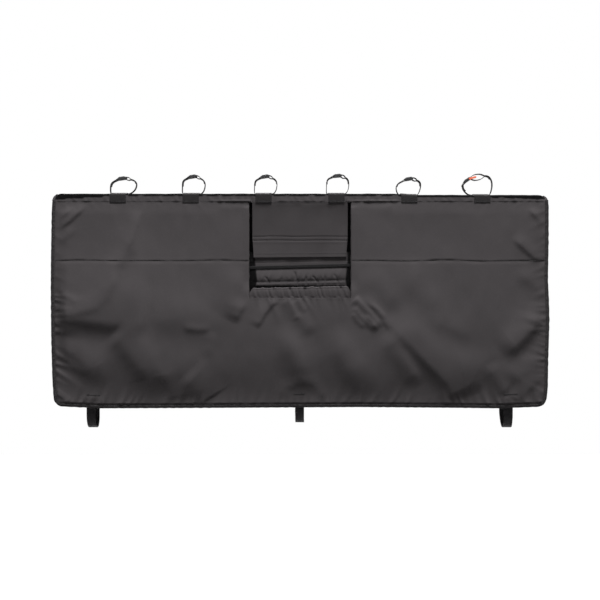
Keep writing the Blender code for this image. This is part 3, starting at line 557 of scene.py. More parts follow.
def front_height(x, z):
    """How far the front fabric stands off its foam, in metres."""
    px, py = to_photo(x, z)
    height = np.zeros(x.shape)
    for fold in FOLDS:
        height = height + ridge(px, py, fold)
    height = height + 0.5 + 0.45 * rough(x, z, 9, 3, 0.12, 0.35) + 0.16 * rough(x, z, 12, 5, 0.03, 0.08)
    to_side = HALF - BINDING_WIDTH - np.abs(x)
    height = height + BELLY * smooth((py - 210) / 130) * (1 - smooth((py - 352) / 58)) * smooth(to_side / 0.20)
    # seam allowance under the stitched line across both sides of the panel
    line = 260.4 + 0.35 * lumps(px, 3, 11, 60, 160)
    outside = smooth((np.abs(x) - WINDOW) / 0.004)
    below = py - line
    groove = smooth((below + 0.35) / 0.5) * (1 - smooth((below - 0.3) / 3.5))
    depth = 0.75 + 0.3 * lumps(px, 5, 12, 8, 50)
    groove = outside * depth * (groove - 0.3 * np.exp(-((below + 1.2) / 0.9) ** 2))
    # how far each place is from what holds the fabric
    to_hem = z + FRONT_DROP - BINDING_WIDTH
    to_seam = -SEAM - z
    to_window = np.where(z < WINDOW_LOW + 1e-4, 1.0, np.abs(x) - WINDOW)
    held = smooth(to_side / 0.045) * smooth(to_seam / 0.040)
    held = held * (1 - np.exp(-np.clip(to_hem, 0, None) / 0.034))
    spare = TALLEST - FREE
    height = np.where(height > FREE, FREE + spare * np.tanh((height - FREE) / spare), height)
    beside = smooth((z - WINDOW_LOW) / 0.060) * smooth(1 - to_window / 0.030)
    height = height * held * (1 - 0.75 * beside)
    near = np.minimum(to_side, to_hem)
    loose = puckers(px, py) * smooth((to_window + 0.002) / 0.006)
    loose = loose * smooth(np.minimum(near, to_seam * 0.4) / 0.005)
    height = height + loose + (1.0 - groove) * smooth(np.minimum(near, to_seam * 0.12) / 0.005)
    return np.clip(height, 0.0, None) / 1000


def panel_corner(x, z, half, low, radius):
    """Pulls a square panel's lower corners in to a round."""
    u = np.clip((np.abs(x) - (half - radius)) / radius, 0, 1)
    v = np.clip((low + radius - z) / radius, 0, 1)
    both = (u > 0) & (v > 0)
    new_x = np.where(both, np.sign(x) * (half - radius + radius * u * np.sqrt(1 - v * v / 2)), x)
    new_z = np.where(both, low + radius - radius * v * np.sqrt(1 - u * u / 2), z)
    return new_x, new_z


def front_place(x, z):
    """A point of the front fabric, with all its relief."""
    height = front_height(x, z)
    window_side = np.where(z > WINDOW_LOW + 1e-4, np.abs(x) - WINDOW, 1.0)
    turned = np.clip(1 - window_side / 0.0035, 0, 1)
    lip = 0.0014 * smooth(1 - (window_side - 0.004) / 0.022) * smooth((z - WINDOW_LOW) / 0.030)
    y = -(OUTER + height + lip * (z < -0.03)) + 0.0022 * turned ** 2 * (window_side < 0.5)
    x_new, z_new = panel_corner(x, z, HALF - SHEET_INSET, -FRONT_DROP + SHEET_INSET, CORNER)
    x_new, z_new = bow(x_new, z_new)
    return x_new, y, z_new


# Finer grid rows about the stitched line, for its groove
GROOVE_ROWS = (-0.0040, -0.0022, -0.0010, -0.0004, 0.0002, 0.0008, 0.0014, 0.0024)


def front_fabric():
    """The front panel's outer fabric, with the window cut out, closed at its back."""
    size = 0.0034 * COARSE
    side = np.concatenate([WINDOW + np.array([0.0, 0.0006, 0.0013, 0.0022, 0.0035]),
                           steps(WINDOW + 0.0055, HALF - SHEET_INSET, size)])
    middle = steps(-WINDOW, WINDOW, size)[1:-1]
    columns = np.concatenate([-side[::-1], middle, side])
    rows = np.concatenate([steps(-FRONT_DROP + SHEET_INSET, -FRONT_DROP + 0.05, size * 0.85)[:-1],
                           steps(-FRONT_DROP + 0.05, WINDOW_LOW, size * 1.15)[:-1],
                           steps(WINDOW_LOW, -SEAM - GAP, size * 1.2)])
    line = at(0, 260.4)[1]
    rows = np.concatenate([rows[np.abs(rows - line) > 0.0045], line + np.array(GROOVE_ROWS)])
    rows = np.sort(rows)

    def keep(x, z):
        return abs(x) > WINDOW - 1e-4 or z < WINDOW_LOW

    bm = cloth(columns, rows, front_place, keep)
    rim = [e for e in bm.edges if e.is_boundary]
    grown = bmesh.ops.extrude_edge_only(bm, edges=rim)["geom"]
    back = -(OUTER - SHELL)
    for vert in [g for g in grown if isinstance(g, bmesh.types.BMVert)]:
        vert.co.y = back
    loop = [g for g in grown if isinstance(g, bmesh.types.BMEdge) and g.is_boundary]
    bmesh.ops.contextual_create(bm, geom=loop)
    bmesh.ops.recalc_face_normals(bm, faces=bm.faces)
    piece = settle(new_piece("front_fabric", bm), "shell", ["front_shell"])
    return piece


# Panels behind and above the front fabric


def panel_steps(low, high, size, refined):
    """Grid lines from low to high, finer in the last stretch at both ends."""
    return np.concatenate([steps(low, low + refined, size / 3)[:-1],
                           steps(low + refined, high - refined, size)[:-1],
                           steps(high - refined, high, size / 3)])


def hanging_sheet(name, drop, y, inset, size, look, replaced, thick, height, facing, notch=None):
    """A sheet of a hanging panel. facing 1 turns its outward side to +Y, and height(x, z) lifts it that way."""
    half = HALF - inset
    low = -drop + inset
    columns = panel_steps(-half, half, size, CORNER)[::-facing]
    rows = np.concatenate([steps(low, low + CORNER, size / 3)[:-1], steps(low + CORNER, -SEAM - GAP, size)])

    def place(x, z):
        x_new, z_new = bow(*panel_corner(x, z, half, low, CORNER - inset))
        return x_new, y + facing * height(x, z), z_new

    def keep(x, z):
        return abs(x) > notch or z < WINDOW_LOW

    if notch:
        middle = steps(-notch, notch, size)
        outer = [x for x in columns if abs(x) > notch + 0.001]
        columns = np.array(sorted(list(middle) + outer, reverse=facing > 0))
        rows = np.concatenate([rows[rows < WINDOW_LOW - 0.002], steps(WINDOW_LOW, -SEAM - GAP, size)])
    piece = settle(new_piece(name, cloth(columns, rows, place, keep if notch else None)), look, replaced)
    return thicken(piece, thick)


def lining_height(x, z):
    """Soft waves of a lining that is sewn only round its edges."""
    to_edge = np.minimum(HALF - 0.012 - np.abs(x), -SEAM - 0.002 - z)
    return 0.0011 * smooth(to_edge / 0.04) * (0.6 + 0.6 * rough(x, z, 9, 21, 0.09, 0.30))


# Folds of the rear panel's fabric: the middle in X, how far it leans, its height in millimetres, and its width
REAR_FOLDS = [
    (-0.52, 0.30, 4.0, 0.020), (-0.31, -0.22, 2.6, 0.016), (-0.06, 0.16, 3.4, 0.022),
    (0.19, -0.26, 2.6, 0.015), (0.43, 0.34, 4.2, 0.020), (0.68, -0.15, 2.8, 0.014),
]


def rear_height(x, z):
    """Folds and puckers of the rear fabric."""
    to_side = HALF - BINDING_WIDTH - np.abs(x)
    to_hem = z + REAR_DROP - BINDING_WIDTH
    to_seam = -SEAM - z
    near = np.minimum.reduce([to_side, to_hem, to_seam])
    height = 1.6 + 1.5 * rough(x, z, 8, 31, 0.16, 0.45) + 0.5 * rough(x, z, 10, 33, 0.05, 0.12)
    for middle, lean, tall, width in REAR_FOLDS:
        away = x - middle - lean * (z + 0.17)
        height = height + tall * np.exp(-(away / width) ** 2) * smooth((z + REAR_DROP) / 0.12)
    gathers = lumps(x, 6, 35, 0.018, 0.045) * np.exp(-np.clip(to_hem, 0, None) / 0.030)
    gathers = gathers + lumps(z, 5, 36, 0.016, 0.04) * np.exp(-np.clip(to_side, 0, None) / 0.026)
    gathers = gathers + 0.7 * lumps(x, 5, 37, 0.02, 0.05) * np.exp(-np.clip(to_seam, 0, None) / 0.022)
    height = height * smooth(near / 0.045) + 1.0 * gathers * smooth(near / 0.006)
    for place in (-UNDER_OFFSET, 0.0, UNDER_OFFSET):
        height = height * (1 - 0.85 * smooth(1 - (np.abs(x - place) - 0.020) / 0.030))
    return np.clip(height, 0, None) / 1000


def over_path():
    """The outer profile over the tailgate's top edge: Y, Z and the outward direction, from front to rear seam."""
    flat_half = HALF_CHANNEL - INNER_BEND
    turn = np.linspace(0, math.pi / 2, 13)
    radius = INNER_BEND + PAD_THICK
    front = [(-OUTER, -SEAM, -1, 0)]
    front += [(-flat_half - radius * math.cos(a), radius * math.sin(a) - INNER_BEND, -math.cos(a), math.sin(a))
              for a in turn]
    return np.array(front + [(-y, z, -ny, nz) for y, z, ny, nz in reversed(front)])


OVER = over_path()
OVER_RUN = spread(OVER[:, :2])
OVER_LENGTH = OVER_RUN[-1]


def over(s, height):
    """Y and Z at a running length along the outer profile and a height above it."""
    y, z, ny, nz = (np.interp(s, OVER_RUN, OVER[:, i]) for i in range(4))
    return y + ny * height, z + nz * height


def off_tabs(x):
    """0 under a webbing tab, 1 away from all of them."""
    away = np.min([np.abs(x - tab) for tab in TABS], axis=0) - TAB_WIDTH / 2
    return smooth(away / 0.007)


# How far round the bend, in radians, the top fabric stays upright between the tabs
BOX_ANGLE = 0.70
BEND_RADIUS = INNER_BEND + PAD_THICK
FOLD = SEAM - INNER_BEND + BOX_ANGLE * BEND_RADIUS


def boxed(s):
    """How far the top fabric stands off the round bend, in millimetres: up a wall to a fold, then down."""
    nearest = np.minimum(s, OVER_LENGTH - s)
    angle = np.clip((nearest - SEAM + INNER_BEND) / BEND_RADIUS, 0, BOX_ANGLE)
    past = smooth((nearest - FOLD) / 0.012)
    return 1000 * BEND_RADIUS * (1 / np.cos(angle) - 1) * (1 - past)


def top_height(x, s):
    """Wrinkles of the top fabric, most of them short and steep in the strip above the front seam."""
    front = np.exp(-((s - 0.012) / 0.012) ** 2)
    rear = np.exp(-((OVER_LENGTH - s - 0.012) / 0.012) ** 2)
    lean = x + 0.5 * (s - 0.01)
    back_lean = x - 0.8 * (s - 0.01)
    short = lumps(lean, 7, 41, 0.014, 0.040) + 0.7 * lumps(back_lean, 6, 42, 0.020, 0.055)
    long = lumps(x, 5, 43, 0.10, 0.28)
    nearest = np.minimum(s, OVER_LENGTH - s)
    lip = np.exp(-((nearest - 0.0030) / 0.0022) ** 2)
    px = to_photo(x, 0)[0]
    shaded = smooth((px - 210) / 12) * smooth((254 - px) / 6) + smooth((px - 350) / 5) * smooth((404 - px) / 14)
    height = 0.4 + 0.45 * short * (front + rear) + 0.25 * long + (0.3 + 1.3 * shaded) * lip
    height = height + 0.3 * rough(x, s, 9, 44, 0.03, 0.09)
    held = smooth(nearest / 0.0018) * smooth((HALF - BINDING_WIDTH - np.abs(x)) / 0.012)
    return (np.clip(height, 0.15, None) * (0.06 + 0.94 * off_tabs(x)) + boxed(s)) * held / 1000


# Lower edge of the black paint at the front, by photograph column: the black strip along the top, widening
# towards both ends into painted shade where the fabric turns away
BLACK_EDGE = [(50, 199.6), (62, 199.3), (72, 198.6), (90, 197.6), (100, 196.8), (108, 196.2), (120, 195.7),
              (250, 195.7), (400, 195.8), (450, 196.2), (490, 196.5), (520, 198.0), (545, 199.0), (552, 199.2)]

# How far the top edge sinks, in photograph pixels by column: the padding's outer face, and the pad's two ends
DIP = [(395, 0.0), (410, 1.1), (440, 1.25), (540, 1.35)]
ENDS = [(50, 4.5), (52, 3.4), (53.6, 2.1), (55.5, 0.8), (59, 0.0), (540, 0.0), (543.5, 0.5), (546.5, 1.9),
        (550, 3.6)]


def sink(x, z, height):
    """How far a point of the top panel sinks, at a height above its outer face."""
    px = to_photo(x, 0)[0]
    through = np.clip(1 + height / PAD_THICK, 0, 1)
    drop = np.interp(px, *zip(*DIP)) * through + np.interp(px, *zip(*ENDS))
    return drop * PIXEL * smooth((z + 0.013) / 0.018)


def black_strip_and_painted_shade(x, s):
    """Where the top fabric is painted black: the black strip over the whole top and down to a line on its front
    and rear faces, with painted shade in the wedges at its ends and in the small dips of its edge.
    """
    z = over(s, top_height(x, s))[1]
    px = to_photo(x, 0)[0]
    # the edge's small dips are painted shadows of wrinkles
    edge = np.interp(px, *zip(*BLACK_EDGE)) + 0.32 * lumps(px, 6, 45, 5, 26)
    line = np.where(s > OVER_LENGTH / 2, 0.0035, at(px, edge)[1])
    return smooth(0.5 + (z - line) / 0.0010)


def top_place(x, s, height):
    """A point of the top panel, at a height off its outer profile."""
    y, z = over(s, height)
    return bow(x, z)[0], y, z - sink(x, z, height)


def top_pieces():
    """The top panel's fabric, lining and padding."""
    size = 0.0030 * COARSE
    half = HALF - SHEET_INSET
    columns = steps(-half, half, size)
    rows = steps(0, OVER_LENGTH, size)
    near_fold = FOLD + np.array([-0.0024, -0.0008, 0.0008, 0.0024])
    fine_rows = np.unique(np.concatenate([rows, near_fold, OVER_LENGTH - near_fold]))
    # paints the black top strip, with painted shade at its ends
    bm = cloth(columns, fine_rows, lambda x, s: top_place(x, s, top_height(x, s)), paint=black_strip_and_painted_shade)
    piece = settle(new_piece("top_fabric", bm), "shell",
                   ["top_shell", "top_front_shell", "top_rear_shell"])
    thicken(piece, SHELL)
    bm = cloth(steps(half, -half, 0.012), rows[::3],
               lambda x, s: top_place(x, s, -PAD_THICK - 0.5 * lining_height(x, 0 * x - 0.2)))
    piece = settle(new_piece("top_inside", bm), "lining",
                   ["top_lining", "top_front_lining", "top_rear_lining"])
    thicken(piece, LINING)
    bm = cloth(steps(-half + 0.002, half - 0.002, 0.03), rows[::4], lambda x, s: top_place(x, s, -0.0057 + 0 * x))
    padding = settle(new_piece("top_padding", bm), "foam", ["top_foam"])
    thicken(padding, 0.0050, 0.0)


def level(x, z):
    """No relief."""
    return 0 * x


def hanging_panels():
    """The front panel's lining and padding, and the rear panel's three layers."""
    piece = hanging_sheet("front_lining_cloth", FRONT_DROP, -HALF_CHANNEL, SHEET_INSET, 0.009 * COARSE, "lining",
                          ["front_lining"], LINING, lining_height, 1, WINDOW + 0.0012)
    piece = hanging_sheet("front_padding", FRONT_DROP, -0.0409, FOAM_INSET, 0.02, "foam", ["front_foam"], FOAM,
                          level, 1, WINDOW + 0.003)
    piece = hanging_sheet("rear_fabric", REAR_DROP, OUTER, SHEET_INSET, 0.0045 * COARSE, "shell", ["rear_shell"],
                          SHELL, rear_height, 1)
    piece = hanging_sheet("rear_lining_cloth", REAR_DROP, HALF_CHANNEL, SHEET_INSET, 0.009 * COARSE, "lining",
                          ["rear_lining"], LINING, lining_height, -1)
    piece = hanging_sheet("rear_padding", REAR_DROP, 0.0487, FOAM_INSET, 0.02, "foam", ["rear_foam"], FOAM,
                          level, 1)


# Binding tape


def left_normals(path):
    """The left-hand direction at each point of a path, stretched at corners so that an offset stays parallel."""
    run = np.diff(path, axis=0)
    run = run / np.hypot(*run.T)[:, None]
    first = np.vstack([run[:1], run])
    both = first + np.vstack([run, run[-1:]])
    side = np.stack([-both[:, 1], both[:, 0]], 1)
    side = side / np.hypot(*side.T)[:, None]
    sharp = np.maximum(0.5, side[:, 1] * first[:, 0] - side[:, 0] * first[:, 1])
    return side / sharp[:, None]


def offset(path, distance):
    """A path moved to its own left."""
    return path + left_normals(path) * distance


def tape_section():
    """A tape folded round an edge: how far in each point lies, and how far out from the panel's middle."""
    half = PAD_THICK / 2 + 0.0015
    turn = np.linspace(0, math.pi / 2, 6)
    bend = [(0.0046 * (1 - math.sin(a)), half - 0.0046 * (1 - math.cos(a))) for a in turn]
    outer = [(BINDING_WIDTH, half), (0.0078, half + 0.0001)] + bend
    return np.array([(a, -b) for a, b in outer] + outer[::-1])


TAPE = tape_section()
TAPE_RUN = spread(TAPE)
FLANGE_ROWS = steps(0, TAPE_RUN[1], 0.0011)
TAPE_ROWS = np.unique(np.concatenate([TAPE_RUN, FLANGE_ROWS, TAPE_RUN[-1] - FLANGE_ROWS]))
TAPE_COLUMN = 0.0024 * COARSE
TAPE_THICK = 0.0010

# The stitches along a tape: how far in from its edge, half a stitch, from one to the next, and the bare ends
STITCH_INSET = 0.0024
STITCH_HALF = 0.0019
STITCH_PITCH = 0.0062
STITCH_END = 0.004


def tape_place(s, t, seed):
    """Inward and outward distances of a tape's point, with the small ripples that its stitches pull in."""
    inward = np.interp(t, TAPE_RUN, TAPE[:, 0])
    outward = np.interp(t, TAPE_RUN, TAPE[:, 1])
    share = smooth(inward / BINDING_WIDTH)
    ripple = 0.42 * lumps(s + 0.4 * inward, 7, seed, 0.007, 0.022) + 0.30 * lumps(s, 4, seed + 1, 0.03, 0.08)
    stitch_line = np.exp(-((inward - 0.0085) / 0.0011) ** 2)
    lift = (0.30 + np.clip(ripple, -0.28, None)) * share - 0.28 * stitch_line
    plump = 0.35 * lumps(s, 6, seed + 2, 0.012, 0.035) * (1 - share)
    return inward - plump / 1000, outward + np.sign(outward) * lift / 1000


def edge_path(drop):
    """The outline of a hanging panel in X and Z, from its top left end round its hem to its top right end."""
    turn = np.linspace(0, math.pi / 2, 13)
    reach = HALF - CORNER
    low = -drop + CORNER
    left = [(-HALF, z) for z in np.linspace(-SEAM - GAP, low, 40)]
    left += [(-reach - CORNER * math.cos(a), low - CORNER * math.sin(a)) for a in turn[1:]]
    hem = [(x, -drop) for x in np.linspace(-reach, reach, 120)[1:-1]]
    path = np.array(left + hem + [(-x, z) for x, z in reversed(left)])
    return np.stack(bow(path[:, 0], path[:, 1]), 1)


def sewn_line(place, t, length, pitch):
    """Stitches along a tape, at the distance t across it."""
    spots = []
    for s in np.arange(STITCH_END, length - STITCH_END, pitch):
        spots.append(np.array(place(np.array([s - STITCH_HALF, s + STITCH_HALF]), np.full(2, t))).T)
    return spots


def edge_tape(name, side, drop, seed, replaced):
    """Tape round the sides and the hem of a hanging panel."""
    path = edge_path(drop)
    inward = left_normals(path)
    run = spread(path)
    middle = (HALF_CHANNEL + OUTER) / 2

    def place(s, t):
        a, b = tape_place(s, t, seed)
        x = np.interp(s, run, path[:, 0]) + np.interp(s, run, inward[:, 0]) * a
        z = np.interp(s, run, path[:, 1]) + np.interp(s, run, inward[:, 1]) * a
        return x, side * (middle + b), z

    length = run[-1]
    us = steps(0, length, TAPE_COLUMN)[::-side]
    piece = settle(new_piece(name, cloth(us, TAPE_ROWS, place)), "binding", replaced)
    thicken(piece, TAPE_THICK)
    spots = sewn_line(place, STITCH_INSET, length, STITCH_PITCH * COARSE)
    spots += sewn_line(place, TAPE_RUN[-1] - STITCH_INSET, length, STITCH_PITCH * COARSE)
    stitches(name + "_stitches", spots, "thread")


def end_tape(name, side, seed, replaced):
    """Tape round one end of the top panel."""

    def place(s, t):
        a, b = tape_place(s, t, seed)
        y, z = over(s, b - PAD_THICK / 2)
        x = bow(side * HALF + 0 * z, z)[0] - side * a
        return x, y, z - sink(x, z, b - PAD_THICK / 2)

    us = steps(0, OVER_LENGTH, TAPE_COLUMN)[::side]
    piece = settle(new_piece(name, cloth(us, TAPE_ROWS, place)), "binding", replaced)
    thicken(piece, TAPE_THICK)
    spots = sewn_line(place, TAPE_RUN[-1] - STITCH_INSET, OVER_LENGTH, STITCH_PITCH)
    stitches(name + "_stitches", spots, "dark_thread")


def stitches(name, spots, look, thick=THREAD):
    """Stitches as small six-sided prisms, each between two points that lie on the cloth."""
    bm = bmesh.new()
    for first, last in spots:
        along = Vector(last) - Vector(first)
        turn = along.to_track_quat("Z", "Y").to_matrix().to_4x4()
        middle = (Vector(first) + Vector(last)) / 2
        bmesh.ops.create_cone(bm, cap_ends=True, segments=6, radius1=thick, radius2=thick, depth=along.length,
                              matrix=Matrix.Translation(middle) @ turn)
    return settle(new_piece(name, bm), look)


# The window


THIN_SHELL = 0.0009
FLAP_THICK = 0.0016
STRIP_WIDTH = 0.0100
STRIP_TAPE = 0.0012

# Y of the backing panel's face and of the hem casing's middle, and where the backing panel ends
BACKING_Y = -0.0369
BACKING_LOW = -0.3455
BACKING_HIGH = -0.175
BACKING_SIDE = 0.020
CASING_Y = -0.0447

# The casing's strip: its width, the share of it in the bend at its top, and that bend's radius
CASING_RUN = 0.071
CASING_BEND = 0.10
CASING_RADIUS = 0.0012

# The backing panel is sewn in with a slight slope, down to the left of this column
SLOPE = 0.025
SLOPE_MIDDLE = 306

# Photograph rows of the stitches: on the flap, near its lower edge, and on the backing panel
FLAP_LINES = (236.4, 240.2)
FLAP_HEM_LINE = 253.4
BACKING_LINES = (280.9, 286.9)


def window_facing(name, side, replaced):
    """Cloth turned round a side edge of the window, from under the front fabric to behind the lining."""
    turned = np.array([(0.1660, -0.0487), (0.1622, -0.0484), (0.1609, -0.0472), (0.1606, -0.0450),
                       (0.1606, -0.0405), (0.1609, -0.0385), (0.1622, -0.0376), (0.1710, -0.0375)])
    run = spread(turned)

    def place(z, t):
        wave = 0.0005 * lumps(z, 5, 51 + side, 0.02, 0.07) * smooth(t / 0.004) * smooth((run[-1] - t) / 0.004)
        return side * (np.interp(t, run, turned[:, 0]) + wave), np.interp(t, run, turned[:, 1]), z

    rows = steps(WINDOW_LOW + 0.0005, -SEAM - GAP, 0.005)[::side]
    piece = settle(new_piece(name, cloth(rows, run, place)), "shell", replaced)
    thicken(piece, THIN_SHELL)


def flap_place(x, z):
    """The access flap: it falls back from the seam, swells a little, and has two sewn lines and a turned hem."""
    px, py = to_photo(x, z)
    share = np.clip((-SEAM - GAP - z) / (-FLAP_LOW - SEAM), 0, 1)
    height = 1.3 * np.sin(math.pi * share ** 0.8) * (1 - (x / FLAP_HALF) ** 4)
    height = height + 0.5 * rough(x, z, 8, 61, 0.05, 0.16) * smooth(share / 0.1)
    for line in FLAP_LINES:
        height = height - 0.65 * np.exp(-((py - line - 0.2 * lumps(px, 3, 62, 20, 60)) / 0.55) ** 2)
    height = height + 0.2 * np.exp(-((py - 242.2) / 1.3) ** 2)
    height = height + 0.5 * np.exp(-((px - 267) ** 2 + (py - 238.4) ** 2) / 4)
    height = height + (0.25 + 0.1 * lumps(px, 4, 63, 8, 30)) * smooth((py - 251.5) / 4)
    height = height * smooth((-SEAM - z) / 0.010)
    narrow = 1 - 0.026 * smooth((-0.118 - z) / 0.075)
    fallen = -OUTER + 0.0090 * (1 - (1 - share) ** 3)
    return x * narrow, fallen - height / 1000, z + 0.0012 * (x / FLAP_HALF) * smooth((-0.15 - z) / 0.04)


def backing_height(x, z):
    """Relief of the sheet behind the window's lower half, in millimetres: bands, gathers and two sewn lines."""
    px, py = to_photo(x, z)
    q = py + SLOPE * (px - SLOPE_MIDDLE)
    side = smooth((WINDOW - 0.004 - np.abs(x)) / 0.026)
    height = 0.3 + 0.5 * smooth((q - 257) / 2) - 0.5 * np.exp(-((q - 261.6) / 0.5) ** 2)
    band = np.clip((q - 268.6) / 11.8, 0, 1)
    gather = 1 + 0.16 * lumps(px + 0.3 * (py - 275), 7, 71, 4, 13)
    bulge = 2.2 * np.sin(math.pi * band ** 1.5) ** 0.6 * gather
    for x0, y0, x1, y1, deep, wide in ((265, 276, 269, 282, 1.3, 1.2), (294, 270, 297.5, 282, 1.8, 1.3),
                                       (312, 275, 318, 282, 1.5, 1.3), (334, 273, 338, 282, 1.1, 1.2)):
        t = np.clip((py - y0) / (y1 - y0), 0, 1)
        bulge = bulge - deep * smooth(t * 3) * np.exp(-((px - x0 - (x1 - x0) * t) / wide) ** 2)
    height = height + bulge * side
    small = lumps(px, 8, 72, 2.6, 7) + 0.5 * lumps(px, 4, 73, 9, 20)
    roll = np.exp(-((q - 283.2) / 1.5) ** 2)
    height = height + (0.9 + 0.3 * small) * roll * side
    height = height + 0.5 * small * np.exp(-((q - 278.5) / 2.2) ** 2) * side
    height = height * (1 - 0.8 * smooth((q - 285) / 2.5))
    return np.clip(height, 0.0, None)


def backing_place(x, z):
    """A point of the backing panel."""
    return x, BACKING_Y - backing_height(x, z) / 1000, z


def backing_painted_shade(x, z):
    """Painted shade on the backing panel, in black: in the slits behind the window's side edges, which shade it,
    and in the shadow under the lower roll.
    """
    px, py = to_photo(x, z)
    reach = np.interp(py, [240, 262, 280, 287], [5.5, 5.5, 7.5, 6.0])
    left = smooth((249.5 + reach + 0.8 - px) / 1.6)
    right = smooth((px - 351.5 + reach - 0.8) / 1.6)
    return np.maximum(np.maximum(left, right), smooth((py - 284.8) / 1.0))


def strip_place(x, t):
    """The dark hook strip on the backing, which slopes down to the left."""
    px = to_photo(x, 0)[0]
    low = 267.9 - SLOPE * (px - SLOPE_MIDDLE)
    z = at(px, low - t / STRIP_WIDTH * 3.2)[1]
    lift = 0.0011 + 0.0009 * smooth(t / 0.0012) * smooth((STRIP_WIDTH - t) / 0.0012)
    return x, BACKING_Y - backing_height(x, z) / 1000 * 0.6 - lift, z


def casing_place(x, t):
    """The gathered casing on the window's lower edge: a strip folded over, from rear foot to front foot."""
    px = to_photo(x, 0)[0]
    end = smooth((WINDOW - 0.0008 - np.abs(x)) / 0.014)
    tall = 0.0325 + 0.0036 * (x / WINDOW) + 0.0008 * lumps(x, 5, 81, 0.02, 0.06)
    tall = tall * (0.42 + 0.58 * end ** 0.6)
    foot = WINDOW_LOW + 0.0002
    share = t / CASING_RUN
    straight = 0.5 - CASING_BEND / 2
    rear = np.clip(share / straight, 0, 1)
    turn = np.clip((share - straight) / CASING_BEND, 0, 1) * math.pi
    front = np.clip((share - straight - CASING_BEND) / straight, 0, 1)
    y = CASING_Y + CASING_RADIUS * np.cos(turn)
    z = foot + tall * rear - tall * front + CASING_RADIUS * np.sin(turn)
    up = np.where(front > 0, 1 - front, rear)
    lean = x - 0.008 * (1 - up) - 0.003 * lumps(x, 3, 85, 0.05, 0.12)
    gather = 0.5 * lumps(lean, 9, 82, 0.010, 0.026) + 0.5 * lumps(x, 5, 83, 0.025, 0.060)
    outward = np.where(share > 0.5, 1.0, -1.0)
    swell = 0.7 * np.sin(math.pi * np.clip(up, 0, 1))
    swell = swell + gather * smooth(up * 5) * (1 - 0.35 * smooth((up - 0.7) / 0.3))
    tuck = 0.3 * np.exp(-((up - 0.86) / 0.07) ** 2)
    y = y - outward * (swell - tuck) / 1000 * (0.35 + 0.65 * end)
    z = z + 0.0006 * lumps(px, 5, 84, 3, 8) * smooth((up - 0.6) / 0.4)
    return x, y, z


def window_pieces():
    """The window's facings, flap, backing panel, hook strip and casing, with their stitches."""
    fine = 0.0020 * COARSE
    window_facing("window_side_left", -1, ["window_facing_left"])
    window_facing("window_side_right", 1, ["window_facing_right"])
    bm = cloth(steps(-FLAP_HALF, FLAP_HALF, fine), steps(FLAP_LOW, -SEAM - GAP, fine * 0.8), flap_place)
    piece = settle(new_piece("window_flap", bm), "shell", ["access_flap"])
    thicken(piece, FLAP_THICK)
    round_edges(piece, 0.0005)

    def backing_seen(x, z):
        y = backing_place(x, z)[1]
        return x, np.where(np.abs(x) < WINDOW + 0.002, y, BACKING_Y), z

    reach = WINDOW + BACKING_SIDE
    # the backing panel carries painted shade in black along its sides and under the lower roll
    bm = cloth(steps(-reach, reach, fine), steps(BACKING_LOW, BACKING_HIGH, fine * 0.8), backing_seen,
               paint=backing_painted_shade)
    piece = settle(new_piece("window_backing", bm), "shell", ["backing_panel"])
    thicken(piece, SHELL)
    bm = cloth(steps(-WINDOW + 0.001, WINDOW - 0.001, fine), steps(0, STRIP_WIDTH, 0.0010), strip_place)
    piece = settle(new_piece("hook_strip", bm), "hook_tape", ["backing_hook_strip"])
    thicken(piece, STRIP_TAPE)
    reach = WINDOW - 0.0005
    bm = cloth(steps(-reach, reach, fine * 0.8), steps(0, CASING_RUN, fine * 0.7), casing_place)
    piece = settle(new_piece("window_casing", bm), "shell", ["window_hem_casing"])
    thicken(piece, THIN_SHELL)
    bm = cloth(steps(-WINDOW + 0.012, WINDOW - 0.012, 0.01), steps(0, 0.024, 0.006),
               lambda x, t: (x, CASING_Y + 0 * x, WINDOW_LOW + 0.0033 + t + 0.0034 * x / WINDOW))
    piece = settle(new_piece("casing_elastic", bm), "elastic", ["window_elastic"])
    thicken(piece, 0.0016, 0.0)
    spots = []
    for px in np.arange(254.5, 347, 2.05):
        for line in FLAP_LINES:
            spots.append(row_spot(flap_place, px, line + 0.1, 1.2, 0.0004))
        spots.append(row_spot(flap_place, px, FLAP_HEM_LINE, 1.2, 0.0002))
    stitches("flap_stitches", spots, "dark_thread")
    spots = []
    for px in np.arange(259, 343, 2.05):
        for line in BACKING_LINES:
            spots.append(row_spot(backing_place, px, line - SLOPE * (px - SLOPE_MIDDLE), 1.2, 0.0002))
    stitches("backing_stitches", spots, "dark_thread")


def row_spot(place, px, py, length, lift):
    """A stitch along X on a surface, at a photograph pixel and with its length in pixels."""
    x, y, z = place(*at(px + np.array([-0.5, 0.5]) * length, np.full(2, py)))
    return np.stack([x, y - lift, z], 1)


# Photograph lines of the stitches on the front fabric: the row across both sides with its two ranges of columns,
# the columns beside the window, the row under it, and each bar tack's ends and row
SIDE_ROW = 260.5
SIDE_RANGES = ((56, 246), (355, 544))
WINDOW_COLUMNS = (244.2, 356.4)
UNDER_ROW = 299.3
FRONT_PITCH = 2.1
FRONT_LENGTH = 1.1
TACKS = ((85, 99, 394.8), (294, 305, 394.0), (504.5, 519, 394.0))
TACK_PITCH = 0.34
TACK_HALF = 0.42


